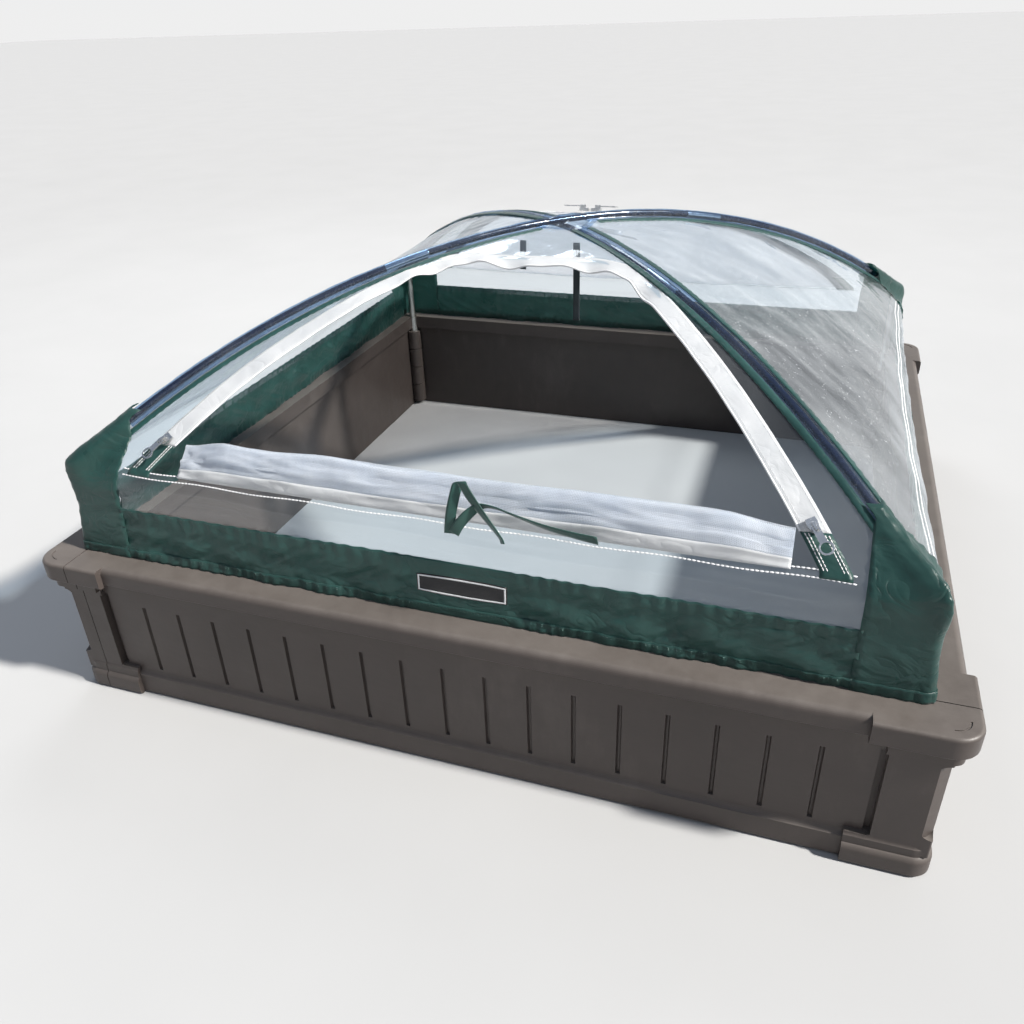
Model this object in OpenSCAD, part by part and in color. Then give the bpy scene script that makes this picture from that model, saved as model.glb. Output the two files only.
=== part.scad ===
// Raised garden bed of four interlocking moulded walls, under a domed cold frame cover.
// Millimetres. Origin: centre of the bed at ground level. +X right, -Y front, +Z up.

/* [Bed] */
// Outside width and depth of the square bed, over its corner caps
bed_w = 1219.2; // [1180:0.1:1260]
// Height of the bed walls
bed_h = 228.6; // [215:0.1:240]
// Number of moulded planks on each wall
plank_count = 18; // [12:1:24]
// Depth of the grooves between planks
groove_depth = 4; // [2:0.5:5]
// Skin thickness of the hollow moulded walls
skin = 4; // [3:0.5:5]

/* [Cover frame] */
// Height of the centre line of the upper hoop pole at the crossing
hoop_top = 592; // [580:1:600]
// Radius of curvature of the hoop poles
hoop_r = 1380; // [1340:1:1420]
// Diameter of the fibreglass hoop poles
pole_d = 9.5; // [8:0.5:10]
// Outside diameter of the steel corner elbows
elbow_d = 14; // [13:0.5:15]
// Length of the metal ferrules that join the pole sections
ferrule_len = 68; // [40:1:90]

/* [Cover fabric] */
// Distance from the centre to the upright clear walls of the cover
wall_d = 555; // [552:1:560]
// Height of the top edge of the green skirt
skirt_top = 300; // [285:1:310]
// Thickness of the fabric and vinyl sheets
sheet_t = 2; // [1.5:0.1:2.5]
// Half the width of the clear window between the corner gussets
window_half = 475; // [465:1:480]

/* [Doorway] */
// Distance from the centre to the top of the zipper arch
arch_top = 146; // [135:1:160]
// Radius of the arch's upper corners
arch_r = 120; // [105:1:135]
// Width of the zipper tape
tape_w = 26; // [20:1:30]

/* [Hidden] */
$fn = 48;
gap = 0.4;

// Bed outline, as distances from the bed's centre
cap_face = bed_w / 2 - 8.6;
block_face = bed_w / 2;
base_face = bed_w / 2 - 12.6;
post_face = bed_w / 2 - 19.6;
collar_face = bed_w / 2 - 11.6;
field_face = bed_w / 2 - 26.6;
field_back = field_face - 30;
cap_back = bed_w / 2 - 69.6;
seam = bed_w / 2 - 55.6;
seam_gap = 0.6;
cap_bottom = bed_h - 27.6;
block_len = 110;
block_r = 32;
base_len = 100;
base_r = 25;
post_len = 87;
post_chamfer = 9;
groove_top = cap_bottom - 42;
groove_bottom = 46;
field_half = seam - 38;

// Corner knuckles and the tubular locking pins
pin_at = cap_back + 1;
pin_r = 9.5;
pin_bore = 8;
knuckle_r = 16;
knuckle_h = 44;
knuckle_levels = [10, 102];
mate_levels = [56, 148];

// Hoop poles: circles in the two upright diagonal planes
lower_hoop_drop = pole_d + 1;
joint_s = 267;
sleeve_in = 12;
sleeve_out = 14;
sleeve_start = 36;
sleeve_end = 690;
elbow_bend = 45;
elbow_reach = 2.1;
leg_bottom = 149;
leg_s = pin_at * sqrt(2);

// Roof sheets: every side is a vault that follows the hoops
roof_top = hoop_top - 5;
eave_d = wall_d - 14;
ridge_gap = 10;
binding_w = 14;
hem_z = bed_h + 1.4;
hem_out = 6;

// Doorway arch: sides in plan are straight lines x = arch_slope * d + arch_in
arch_slope = 0.835;
arch_in = 12;
arch_norm = sqrt(1 + arch_slope * arch_slope);
arch_cd = arch_top + arch_r;
arch_cx = arch_slope * arch_cd + arch_in - arch_r * arch_norm;
arch_side_angle = -atan(arch_slope);
sill_d = eave_d - 3;

// Zipper sliders
slider_d = 503;
slider_lift = 2.2;
rear_slider_x = 11;

// Label patch
label_x = 24;
label_z = 271;
label_w = 118;
label_h = 28;
label_bow_r = 885;

// Points along an arc, from angle a0 to a1 in n steps
function arc(cx, cy, r, a0, a1, n) = [
  for (i = [0 : n]) let (a = a0 + (a1 - a0) * i / n) [cx + r * cos(a), cy + r * sin(a)]
];

// ---- Bed walls -------------------------------------------------------------------------

// Outlines list [distance from the bed's centre, height], from the bottom up
function field_outline() = concat(
  [[field_face + 3, 0], [field_face + 6.5, 3], [field_face + 6.5, 22]],
  arc(field_face + 12, 44, 12, 240, 180, 6),
  [[field_face, cap_bottom]]
);
function cap_outline(face, arris, low) = concat(
  [[face - 3, low], [face, low + 3]],
  arc(face - arris, bed_h - arris, arris, 0, 90, 8)
);
function base_outline(face) = concat(
  [[face - 3, 0], [face, 3]],
  arc(face - 10, 20, 10, 0, 60, 6),
  arc(face, 45, 7, 225, 180, 4)
);
function plain_outline(face, low, high) = [[face, low], [face, high]];

// A moulding along the front, from x0 to x1, reaching back to the distance back
module front_run(outline, x0, x1, back) {
  last = len(outline) - 1;
  closed = concat([[back, outline[0][1]]], outline, [[back, outline[last][1]]]);
  translate([x0, 0, 0])
    rotate([90, 0, 90])
      linear_extrude(x1 - x0)
        polygon([for (p = closed) [-p[0], p[1]]]);
}

// The same moulding run along the front from x0, round the right corner and up to the seam
module corner_run(outline, x0, face, r, back) {
  last = len(outline) - 1;
  centre = face - r;
  front_run(outline, x0, centre, back);
  translate([centre, -centre, 0])
    rotate([0, 0, -90])
      rotate_extrude(angle = 90)
        polygon(concat(
          [[0, outline[0][1]]],
          [for (p = outline) [p[0] - centre, p[1]]],
          [[0, outline[last][1]]]
        ));
  translate([0, -seam, 0])
    rotate([90, 0, 0])
      linear_extrude(centre - seam)
        polygon(concat([[back, outline[0][1]]], outline, [[back, outline[last][1]]]));
  translate([back, -centre, outline[0][1]])
    cube([centre - back, centre - seam, outline[last][1] - outline[0][1]]);
}

// Both ends of a wall: a whole rounded corner on the right, a butted end on the left
module end_mouldings(outline, length, face, r, back) {
  corner_run(outline, face - length, face, r, back);
  front_run(outline, -seam, -(face - length), back);
}

module knuckles(x, levels, grow) {
  for (z = levels)
    translate([x, -pin_at, z - grow])
      cylinder(r = knuckle_r + grow, h = knuckle_h + 2 * grow);
}

module plank_grooves() {
  pitch = 2 * field_half / plank_count;
  for (i = [1 : plank_count - 1])
    translate([-field_half + i * pitch, -field_face, groove_bottom])
      linear_extrude(groove_top - groove_bottom)
        polygon([[-3.2, -1], [-2.4, groove_depth * 0.6], [-1.2, groove_depth],
                 [1.2, groove_depth], [2.4, groove_depth * 0.6], [3.2, -1]]);
}

module post_recesses() {
  for (x = [-field_half - 9, field_half + 1])
    translate([x, -post_face - 1, groove_bottom])
      cube([8, post_face - field_face + 6, groove_top + 14 - groove_bottom]);
}

// Hollow of the blow-moulded wall, with the planks' grooves left a full skin of plastic
module wall_cavity() {
  cavity_half = field_half - 20;
  translate([-cavity_half, -(field_face - groove_depth - skin), skin + 2])
    cube([2 * cavity_half, field_face - groove_depth - 2 * skin - field_back, cap_bottom]);
  translate([-cavity_half, -(cap_face - skin - 2), cap_bottom + skin])
    cube([2 * cavity_half, cap_face - cap_back - 2 * skin - 4, bed_h - cap_bottom - 2 * skin]);
}

// Shallow line moulded into the cap's top, concentric with the rounded corner
module corner_line() {
  centre = block_face - block_r;
  translate([centre, -centre, bed_h - 1])
    rotate([0, 0, -90])
      rotate_extrude(angle = 90)
        translate([block_r - 15, 0])
          square([1.8, 2]);
}

// Flat cut down the outer corner of the post, with rounded ends
module post_flat() {
  round_r = post_chamfer + 1;
  low = groove_bottom + 22;
  high = groove_top + 4;
  translate([post_face, -post_face, 0])
    rotate([0, 0, -45])
      translate([-post_chamfer, 0, 0])
        rotate([90, 0, 90])
          linear_extrude(4 * post_chamfer) {
            translate([-round_r, low])
              square([2 * round_r, high - low]);
            for (z = [low, high])
              translate([0, z])
                circle(r = round_r);
          }
}

// Every moulding of a wall, trimmed to the seams at its butted end and its corner's return
module wall_mouldings() {
  difference() {
    union() {
      front_run(field_outline(), -seam, seam, field_back);
      front_run(cap_outline(cap_face, 10, cap_bottom), -seam, cap_back, cap_back);
      front_run(cap_outline(cap_face, 10, cap_bottom), -seam, seam, field_back - 3);
      end_mouldings(cap_outline(block_face, 5, cap_bottom - 2), block_len, block_face,
                    block_r, seam);
      end_mouldings(plain_outline(collar_face, cap_bottom - 18, cap_bottom), post_len - 10,
                    collar_face, 14, field_back);
      end_mouldings(plain_outline(post_face, 30, cap_bottom - 12), post_len - 19,
                    post_face, 3, field_back);
      end_mouldings(base_outline(base_face), base_len, base_face, base_r, field_back);
    }
    translate([-seam - block_len, -block_face - 1, -1])
      cube([block_len + seam_gap, block_len, bed_h + 2]);
    translate([cap_back, -seam - seam_gap, -1])
      cube([block_len, block_len, bed_h + 2]);
    translate([cap_back - seam_gap, -seam - seam_gap, cap_bottom - 4])
      cube([block_len, block_len, block_len]);
  }
}

// One wall, in the front wall's place. The four walls are the same moulding
module wall() {
  difference() {
    union() {
      wall_mouldings();
      knuckles(pin_at, knuckle_levels, 0);
      knuckles(-pin_at, mate_levels, 0);
    }
    plank_grooves();
    post_recesses();
    wall_cavity();
    corner_line();
    post_flat();
    // Pockets for the next wall's knuckles, then the pin's way through everything
    knuckles(pin_at, mate_levels, 1);
    knuckles(-pin_at, knuckle_levels, 1);
    for (x = [-pin_at, pin_at])
      translate([x, -pin_at, -1])
        cylinder(r = pin_r + 0.2, h = bed_h + 2);
  }
}

module placed_wall(turn) {
  color([0.36, 0.32, 0.29])
    rotate([0, 0, 90 * turn])
      wall();
}
module front_wall() { placed_wall(0); }
module right_wall() { placed_wall(1); }
module rear_wall() { placed_wall(2); }
module left_wall() { placed_wall(3); }

// Steel tubes that lock the knuckles together and take the cover's legs
module corner_pins() {
  color("silver")
    for (x = [-1, 1])
      for (y = [-1, 1])
        translate([x * pin_at, y * pin_at, 8])
          difference() {
            cylinder(r = pin_r, h = bed_h - 10);
            translate([0, 0, -1])
              cylinder(r = pin_bore, h = bed_h);
          }
}

// ---- Hoop poles ------------------------------------------------------------------------

// A tube along a hoop between two distances s from the centre, in the plane of +X
module hoop_tube(top, s0, s1, od, id) {
  a0 = acos(s1 / hoop_r);
  a1 = acos(s0 / hoop_r);
  translate([0, 0, top - hoop_r])
    rotate([90, 0, 0])
      rotate([0, 0, a0])
        rotate_extrude(angle = a1 - a0, $fn = 360)
          translate([hoop_r, 0])
            difference() {
              circle(d = od);
              if (id > 0) circle(d = id);
            }
}

// Turns given in degrees of the four ridges: front right, rear right, rear left, front left
RIDGE_FR = -45;
RIDGE_RR = 45;
RIDGE_RL = 135;
RIDGE_FL = -135;
function ridge_top(turn) =
  (turn == RIDGE_FL || turn == RIDGE_RR) ? hoop_top : hoop_top - lower_hoop_drop;

// Three pole sections butted inside the ferrules
module hoop_pole(top, turn) {
  pole_end = leg_s - 26;
  rotate([0, 0, turn]) {
    hoop_tube(top, -joint_s + gap, joint_s - gap, pole_d, 0);
    hoop_tube(top, joint_s + gap, pole_end, pole_d, 0);
    hoop_tube(top, -pole_end, -joint_s - gap, pole_d, 0);
  }
}
module upper_hoop_pole() { color([0.08, 0.1, 0.16]) hoop_pole(hoop_top, RIDGE_RR); }
module lower_hoop_pole() {
  color([0.08, 0.1, 0.16])
    hoop_pole(hoop_top - lower_hoop_drop, RIDGE_FR);
}

module pole_ferrules() {
  color("silver")
    for (turn = [RIDGE_FR, RIDGE_RR, RIDGE_RL, RIDGE_FL])
      rotate([0, 0, turn])
        hoop_tube(ridge_top(turn), joint_s - ferrule_len / 2, joint_s + ferrule_len / 2,
                  pole_d + 1.5, pole_d + 0.2);
}

// An elbow: a straight leg, a tight bend, and a socket that carries on along the hoop
module elbow_path(top, od, id, low, reach) {
  bend_s = leg_s - elbow_bend;
  reach_r = hoop_r - elbow_bend;
  bend_z = top - hoop_r + sqrt(reach_r * reach_r - bend_s * bend_s);
  meet = acos(bend_s / reach_r);
  translate([leg_s, 0, low])
    difference() {
      cylinder(d = od, h = bend_z - low);
      translate([0, 0, -1])
        cylinder(d = id, h = bend_z - low + 2);
    }
  translate([bend_s, 0, bend_z])
    rotate([90, 0, 0])
      rotate_extrude(angle = meet)
        translate([elbow_bend, 0])
          difference() {
            circle(d = od);
            circle(d = id);
          }
  translate([0, 0, top - hoop_r])
    rotate([90, 0, 0])
      rotate([0, 0, meet])
        rotate_extrude(angle = reach, $fn = 360)
          translate([hoop_r, 0])
            difference() {
              circle(d = od);
              circle(d = id);
            }
}

module corner_elbows() {
  color("silver")
    for (turn = [RIDGE_FR, RIDGE_RR, RIDGE_RL, RIDGE_FL])
      rotate([0, 0, turn])
        elbow_path(ridge_top(turn), elbow_d, pole_d + 0.6, leg_bottom, elbow_reach);
}

module ridge_sleeve(turn) {
  color([0.8, 0.88, 0.9, 0.5])
    rotate([0, 0, turn])
      hoop_tube(ridge_top(turn), sleeve_start, sleeve_end, sleeve_out, sleeve_in);
}
module sleeve_front_left() { ridge_sleeve(RIDGE_FL); }
module sleeve_front_right() { ridge_sleeve(RIDGE_FR); }
module sleeve_rear_right() { ridge_sleeve(RIDGE_RR); }
module sleeve_rear_left() { ridge_sleeve(RIDGE_RL); }

// ---- Sheets ----------------------------------------------------------------------------

function vault_root(d) = sqrt(hoop_r * hoop_r - 2 * d * d);
function vault_z(d) = roof_top - hoop_r + vault_root(d);
function vault_slope(d) = 2 * d / vault_root(d);
function vault_point(d, off) = let (g = vault_slope(d), n = sqrt(1 + g * g))
  [d + off * g / n, vault_z(d) + off / n];
eave_angle = atan(vault_slope(eave_d));
eave_r = (wall_d - eave_d) / (1 - sin(eave_angle));
eave_z = vault_z(eave_d) - eave_r * cos(eave_angle);

// The line of a sheet, from the roof at d0 over the eave: off is the height above the sheet
function roof_line(d0, d1, off, n) = [
  for (i = [0 : n]) vault_point(d0 + (d1 - d0) * i / n, off)
];
function eave_line(off) =
  arc(wall_d - eave_r, eave_z, eave_r + off, 90 - eave_angle, 0, 6);
function reversed(list) = [for (i = [len(list) - 1 : -1 : 0]) list[i]];

// A profile [distance, height] carried along the front between -half and half
module front_sheet(outer, inner, half) {
  outline = concat(outer, reversed(inner));
  translate([-half, 0, 0])
    rotate([90, 0, 90])
      linear_extrude(2 * half)
        polygon([for (p = outline) [-p[0], p[1]]]);
}

// A sheet on the roof only, between two distances and two heights above the vault
module roof_sheet(d0, d1, low, high) {
  front_sheet(roof_line(d0, d1, high, 14), roof_line(d0, d1, low, 14), wall_d + 20);
}

module plan_mask(points) {
  linear_extrude(hoop_top + 60)
    polygon(points);
}

// Region of the doorway arch, drawn in plan, moved inwards by inset
function arch_half(d, inset) = arch_slope * d + arch_in - inset * arch_norm;
function arch_points(inset, end) = let (
  r = arch_r - inset,
  side = arc(arch_cx, arch_cd, r, -90, arch_side_angle, 8)
) concat(
  [for (p = side) [p[0], -p[1]]],
  [[arch_half(end, inset), -end], [-arch_half(end, inset), -end]],
  [for (p = reversed(side)) [-p[0], -p[1]]]
);

module window_sheet() {
  low = skirt_top + 1;
  cut = ridge_gap * sqrt(2);
  edge = window_half - 1;
  intersection() {
    front_sheet(
      concat(roof_line(cut + 12, eave_d, 0, 18), eave_line(0), [[wall_d, low]]),
      concat(roof_line(cut + 12, eave_d, -sheet_t, 18), eave_line(-sheet_t),
             [[wall_d - sheet_t, low]]),
      edge
    );
    plan_mask([[-1, -cut - 1], [1, -cut - 1], [edge, -cut - edge], [edge, -wall_d - 20],
               [-edge, -wall_d - 20], [-edge, -cut - edge]]);
  }
}

module plain_window(turn) {
  color([0.85, 0.92, 0.95, 0.45])
    rotate([0, 0, 90 * turn])
      window_sheet();
}
module door_window(turn) {
  color([0.85, 0.92, 0.95, 0.45])
    rotate([0, 0, 90 * turn])
      difference() {
        window_sheet();
        plan_mask(arch_points(12, sill_d));
      }
}
module front_window() { door_window(0); }
module right_window() { plain_window(1); }
module rear_window() { door_window(2); }
module left_window() { plain_window(3); }

module skirt(turn) {
  edge = window_half - 1;
  color([0.13, 0.32, 0.28])
    rotate([0, 0, 90 * turn])
      front_sheet([[wall_d, skirt_top], [wall_d + hem_out, hem_z]],
                  [[wall_d - sheet_t, skirt_top], [wall_d + hem_out - sheet_t, hem_z]],
                  edge);
}
module front_skirt() { skirt(0); }
module right_skirt() { skirt(1); }
module rear_skirt() { skirt(2); }
module left_skirt() { skirt(3); }

// The green corner: half on each side of the ridge, and a pocket round the elbow
module gusset_half() {
  d0 = window_half - 30;
  intersection() {
    front_sheet(
      concat(roof_line(d0, eave_d, 0, 6), eave_line(0),
             [[wall_d, skirt_top], [wall_d + hem_out, hem_z]]),
      concat(roof_line(d0, eave_d, -sheet_t, 6), eave_line(-sheet_t),
             [[wall_d - sheet_t, skirt_top], [wall_d + hem_out - sheet_t, hem_z]]),
      wall_d + 20
    );
    plan_mask([[window_half, -window_half], [wall_d + 20, -wall_d - 20],
               [window_half, -wall_d - 20]]);
  }
}

// Line at a height off over the elbow and the end of its hoop, in the ridge's plane
function elbow_line(top, off) = let (
  bend_s = leg_s - elbow_bend,
  reach_r = hoop_r - elbow_bend,
  bend_z = top - hoop_r + sqrt(reach_r * reach_r - bend_s * bend_s),
  meet = acos(bend_s / reach_r)
) concat(
  [[leg_s + off, eave_z - 20]],
  arc(bend_s, bend_z, elbow_bend + off, 0, meet, 8),
  arc(0, top - hoop_r, hoop_r + off, meet + 0.5, meet + elbow_reach, 4)
);

// The roof falls away on both sides of a ridge, so the pocket's cheeks reach down to it
cheek_drop = 8;
module ridge_slab(points, width) {
  translate([0, width / 2, 0])
    rotate([90, 0, 0])
      linear_extrude(width)
        polygon(points);
}

// Channel of fabric that carries the gusset over the elbow
module elbow_pocket(top) {
  over = elbow_line(top, elbow_d / 2 + 1 + sheet_t);
  under = elbow_line(top, elbow_d / 2 + 1);
  start = over[len(over) - 1][0];
  sheet = concat(roof_line(start / sqrt(2), eave_d, -sheet_t / 2, 6), eave_line(-sheet_t / 2));
  difference() {
    ridge_slab(concat(over, [[start, eave_z - 20]]), elbow_d + 2 + 2 * sheet_t);
    ridge_slab(concat(under, [[start - 20, over[len(over) - 1][1]], [start - 20, eave_z - 60],
                              [leg_s + elbow_d / 2 + 1, eave_z - 60]]), elbow_d + 2);
    ridge_slab(concat([for (p = sheet) [p[0] * sqrt(2), p[1] - cheek_drop]],
                      [[wall_d * sqrt(2), 0], [start - 30, 0], [start - 30, sheet[0][1]]]), 60);
  }
}

module gusset(turn) {
  color([0.13, 0.32, 0.28])
    rotate([0, 0, turn - RIDGE_FR]) {
      difference() {
        union() {
          gusset_half();
          rotate([0, 0, 90])
            mirror([1, 0, 0])
              gusset_half();
        }
        rotate([0, 0, RIDGE_FR])
          translate([0, -elbow_d / 2 - 1, eave_z])
            cube([leg_s + elbow_d / 2 + 1, elbow_d + 2, 200]);
      }
      rotate([0, 0, RIDGE_FR])
        elbow_pocket(ridge_top(turn));
    }
}
module gusset_front_left() { gusset(RIDGE_FL); }
module gusset_front_right() { gusset(RIDGE_FR); }
module gusset_rear_right() { gusset(RIDGE_RR); }
module gusset_rear_left() { gusset(RIDGE_RL); }

// The two green strips along the ridges of one side, meeting short of the crossing
module binding(turn) {
  near = ridge_gap * sqrt(2);
  far = (ridge_gap + binding_w) * sqrt(2);
  end = eave_d - 40;
  color([0.16, 0.4, 0.34])
    rotate([0, 0, 90 * turn])
      difference() {
        intersection() {
          roof_sheet(near + 16, end, gap, gap + 1.2);
          plan_mask([[0, -near], [end - near, -end], [end - far, -end], [0, -far],
                     [far - end, -end], [near - end, -end]]);
        }
        plan_mask(arch_points(-1.5, end + 20));
      }
}
module front_binding() { binding(0); }
module right_binding() { binding(1); }
module rear_binding() { binding(2); }
module left_binding() { binding(3); }

module zip_tape(turn) {
  color("white")
    rotate([0, 0, 90 * turn])
      difference() {
        intersection() {
          roof_sheet(arch_top - 4, eave_d, gap, gap + 1.2);
          plan_mask(arch_points(0, eave_d + 6));
        }
        plan_mask(arch_points(tape_w, eave_d + 8));
      }
}
module front_zip_tape() { zip_tape(0); }
module rear_zip_tape() { zip_tape(2); }

module rear_door() {
  color([0.93, 0.94, 0.95])
    rotate([0, 0, 180])
      intersection() {
        roof_sheet(arch_top + 10, sill_d - 1, -sheet_t, 0);
        plan_mask(arch_points(13, sill_d - 1));
      }
}

// The front door, folded down on to the sill
door_left = -382;
door_right = 398;
door_low = gap + 1.4;
door_d0 = 500;
door_d1 = sill_d;
module front_door() {
  color([0.93, 0.94, 0.95])
    translate([(door_left + door_right) / 2, 0, 0])
      front_sheet(
        [vault_point(door_d0, door_low + 12), vault_point(door_d0 + 8, door_low + 19),
         vault_point(door_d1 - 12, door_low + 16), vault_point(door_d1, door_low + 6)],
        [vault_point(door_d0, door_low + 4), vault_point(door_d0 + 6, door_low),
         vault_point(door_d1 - 3, door_low), vault_point(door_d1, door_low + 3)],
        (door_right - door_left) / 2
      );
}

// Two webbing ties over the folded door, and their loose ends below the sill
tie_xs = [22, 62];
tie_end_xs = [42, 83];
tie_w = 14;
module door_ties() {
  color([0.1, 0.26, 0.23])
    for (x = tie_xs)
      translate([x, 0, 0])
        front_sheet(
          [vault_point(door_d0 + 4, door_low + 22), vault_point(door_d1 - 10, door_low + 20),
           vault_point(door_d1 + 2, door_low + 8)],
          [vault_point(door_d0 + 4, door_low + 20.4), vault_point(door_d1 - 11, door_low + 18.4),
           vault_point(door_d1 + 0.6, door_low + 7.6)],
          tie_w / 2
        );
}
module tie_ends() {
  color([0.1, 0.26, 0.23])
    for (x = tie_end_xs)
      translate([x, 0, 0])
        front_sheet(
          [vault_point(door_d1 + 5, 4), [wall_d + 4, eave_z + 34], [wall_d + 6, eave_z + 12]],
          [vault_point(door_d1 + 5, 2.6), [wall_d + 2.6, eave_z + 33], [wall_d + 4.6, eave_z + 12]],
          tie_w / 2
        );
}

// Two dark ties that hang inside the roof and hold the door when it is rolled up
module roof_tie_straps() {
  strap_d = 88;
  color([0.08, 0.12, 0.14])
    for (strap = [[-41, 44], [42, 118]])
      translate([strap[0] - 5, -strap_d - 0.6, vault_z(strap_d) - sheet_t - 1.5 - strap[1]])
        cube([10, 1.2, strap[1]]);
}

// Blank woven patch on the front skirt, with bowed long sides
module label_patch() {
  lean = atan(hem_out / (skirt_top - hem_z));
  color([0.12, 0.12, 0.13])
    translate([label_x, -wall_d - hem_out * (skirt_top - label_z) / (skirt_top - hem_z), label_z])
      rotate([90 - lean, 0, 0])
        translate([0, 0, gap])
          linear_extrude(1)
            intersection() {
              square([label_w, label_h], center = true);
              for (side = [-1, 1])
                translate([0, side * (label_bow_r - label_h / 2)])
                  circle(r = label_bow_r, $fn = 360);
            }
}

// ---- Zipper sliders --------------------------------------------------------------------

// Slider body: +X runs down the tape, +Z stands off it, the bridge carries the pull
bridge_x = 3;
bridge_z = 8.2;
pull_pin = 1.6;
module slider_body() {
  linear_extrude(5)
    polygon(concat(
      [[-9, 5.5], [-9, -5.5], [-3, -6.5]],
      arc(4, 0, 5, -70, 70, 8),
      [[-3, 6.5]]
    ));
  difference() {
    translate([-3, -1.5, 4.9])
      cube([10, 3, 5.4]);
    translate([bridge_x, 0, bridge_z])
      rotate([90, 0, 0])
        cylinder(d = pull_pin + 0.7, h = 10, center = true);
  }
}

// Pull: a pin through the bridge, two cheeks, a neck and a ring
module slider_pull() {
  translate([bridge_x, 0, bridge_z]) {
    rotate([90, 0, 0])
      cylinder(d = pull_pin, h = 6.4, center = true);
    for (side = [-1, 1])
      translate([-1.2, side * 3.1 - 0.9, -0.9])
        cube([10, 1.8, 1.8]);
    translate([7, -4, -0.9])
      cube([12, 8, 1.8]);
    translate([26, 0, -0.9])
      difference() {
        cylinder(r = 8, h = 1.8);
        translate([0, 0, -1])
          cylinder(r = 6, h = 4);
      }
  }
}

// Frame of a slider on the right side of the front arch, at distance d from the centre
module on_arch_side(d) {
  g = vault_slope(d);
  cross_share = arch_slope / arch_norm;
  foot = vault_point(d, gap + 1.2 + slider_lift);
  translate([arch_half(d, tape_w / 2), -foot[0], foot[1]])
    rotate([0, 0, -atan(1 / arch_slope)])
      rotate([0, atan(g / arch_norm), 0])
        rotate([asin(g * cross_share / sqrt(1 + g * g)), 0, 0])
          children();
}

// Frame of a slider on the straight top of the rear arch, to the right of its middle
module on_arch_top() {
  d = arch_top + tape_w / 2;
  foot = vault_point(d, gap + 1.2 + slider_lift);
  rotate([0, 0, 180])
    translate([rear_slider_x, -foot[0], foot[1]])
      rotate([atan(vault_slope(d)), 0, 0])
        children();
}

module front_right_slider() { color("silver") on_arch_side(slider_d) slider_body(); }
module front_right_pull() { color("silver") on_arch_side(slider_d) slider_pull(); }
module front_left_slider() { mirror([1, 0, 0]) front_right_slider(); }
module front_left_pull() { mirror([1, 0, 0]) front_right_pull(); }
module rear_left_slider() { color("silver") on_arch_top() slider_body(); }
module rear_left_pull() { color("silver") on_arch_top() slider_pull(); }
module rear_right_slider() { mirror([1, 0, 0]) rear_left_slider(); }
module rear_right_pull() { mirror([1, 0, 0]) rear_left_pull(); }

front_wall();
right_wall();
rear_wall();
left_wall();
corner_pins();
upper_hoop_pole();
lower_hoop_pole();
pole_ferrules();
corner_elbows();
sleeve_front_left();
sleeve_front_right();
sleeve_rear_right();
sleeve_rear_left();
front_window();
right_window();
rear_window();
left_window();
front_skirt();
right_skirt();
rear_skirt();
left_skirt();
gusset_front_left();
gusset_front_right();
gusset_rear_right();
gusset_rear_left();
front_binding();
right_binding();
rear_binding();
left_binding();
front_zip_tape();
rear_zip_tape();
rear_door();
front_door();
door_ties();
tie_ends();
roof_tie_straps();
label_patch();
front_left_slider();
front_right_slider();
rear_left_slider();
rear_right_slider();
front_left_pull();
front_right_pull();
rear_left_pull();
rear_right_pull();
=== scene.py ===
"""Raised garden bed with a domed cold frame cover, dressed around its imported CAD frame.
Metres. Origin: centre of the bed at ground level. +X right, -Y front, +Z up.
A side of the cover is addressed by its quarter turn (0 front, 1 right, 2 rear, 3 left), by x along
the side and by w down its profile: w is the plan distance from the centre on the roof, and runs on
as length over the eave, down the clear wall and down the skirt."""
import math

import bmesh
import bpy
import numpy as np
from mathutils import Matrix, Vector


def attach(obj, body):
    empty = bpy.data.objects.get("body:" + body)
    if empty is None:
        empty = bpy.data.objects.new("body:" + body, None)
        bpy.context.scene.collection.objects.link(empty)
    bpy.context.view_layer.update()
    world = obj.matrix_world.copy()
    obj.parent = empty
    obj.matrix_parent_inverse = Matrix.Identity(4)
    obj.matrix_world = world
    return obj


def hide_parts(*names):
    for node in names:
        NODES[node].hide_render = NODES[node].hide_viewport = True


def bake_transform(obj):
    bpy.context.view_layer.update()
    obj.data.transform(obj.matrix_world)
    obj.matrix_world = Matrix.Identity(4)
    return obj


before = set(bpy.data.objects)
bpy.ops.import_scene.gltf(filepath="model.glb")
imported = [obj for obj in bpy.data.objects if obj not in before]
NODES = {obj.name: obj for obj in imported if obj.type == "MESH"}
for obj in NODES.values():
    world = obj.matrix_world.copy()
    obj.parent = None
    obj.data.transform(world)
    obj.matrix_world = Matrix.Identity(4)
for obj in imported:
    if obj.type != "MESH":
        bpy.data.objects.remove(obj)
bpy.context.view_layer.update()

# ---- Driving sizes, the same as the CAD's ----------------------------------------------------
HOOP_TOP = 0.592
HOOP_DROP = 0.0105
HOOP_R = 1.380
ROOF_TOP = 0.587
WALL_D = 0.555
EAVE_D = 0.541
SILL_D = 0.538
SKIRT_TOP = 0.300
HEM_Z = 0.2300
HEM_OUT = 0.006
WINDOW_HALF = 0.475
RIDGE_GAP = 0.010
BINDING_W = 0.014
TAPE_W = 0.026
SLIDER_D = 0.503
ARCH_TOP = 0.146
ARCH_R = 0.120
ARCH_SLOPE = 0.835
ARCH_IN = 0.012
ARCH_NORM = math.hypot(1, ARCH_SLOPE)
ARCH_CD = ARCH_TOP + ARCH_R
ARCH_CX = ARCH_SLOPE * ARCH_CD + ARCH_IN - ARCH_R * ARCH_NORM
DOOR_X = (-0.382, 0.398)
RIDGES = {"front_right": -45, "rear_right": 45, "rear_left": 135, "front_left": -135}
SIDES = ("front", "right", "rear", "left")
FRONT, RIGHT, REAR, LEFT = range(4)


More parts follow.
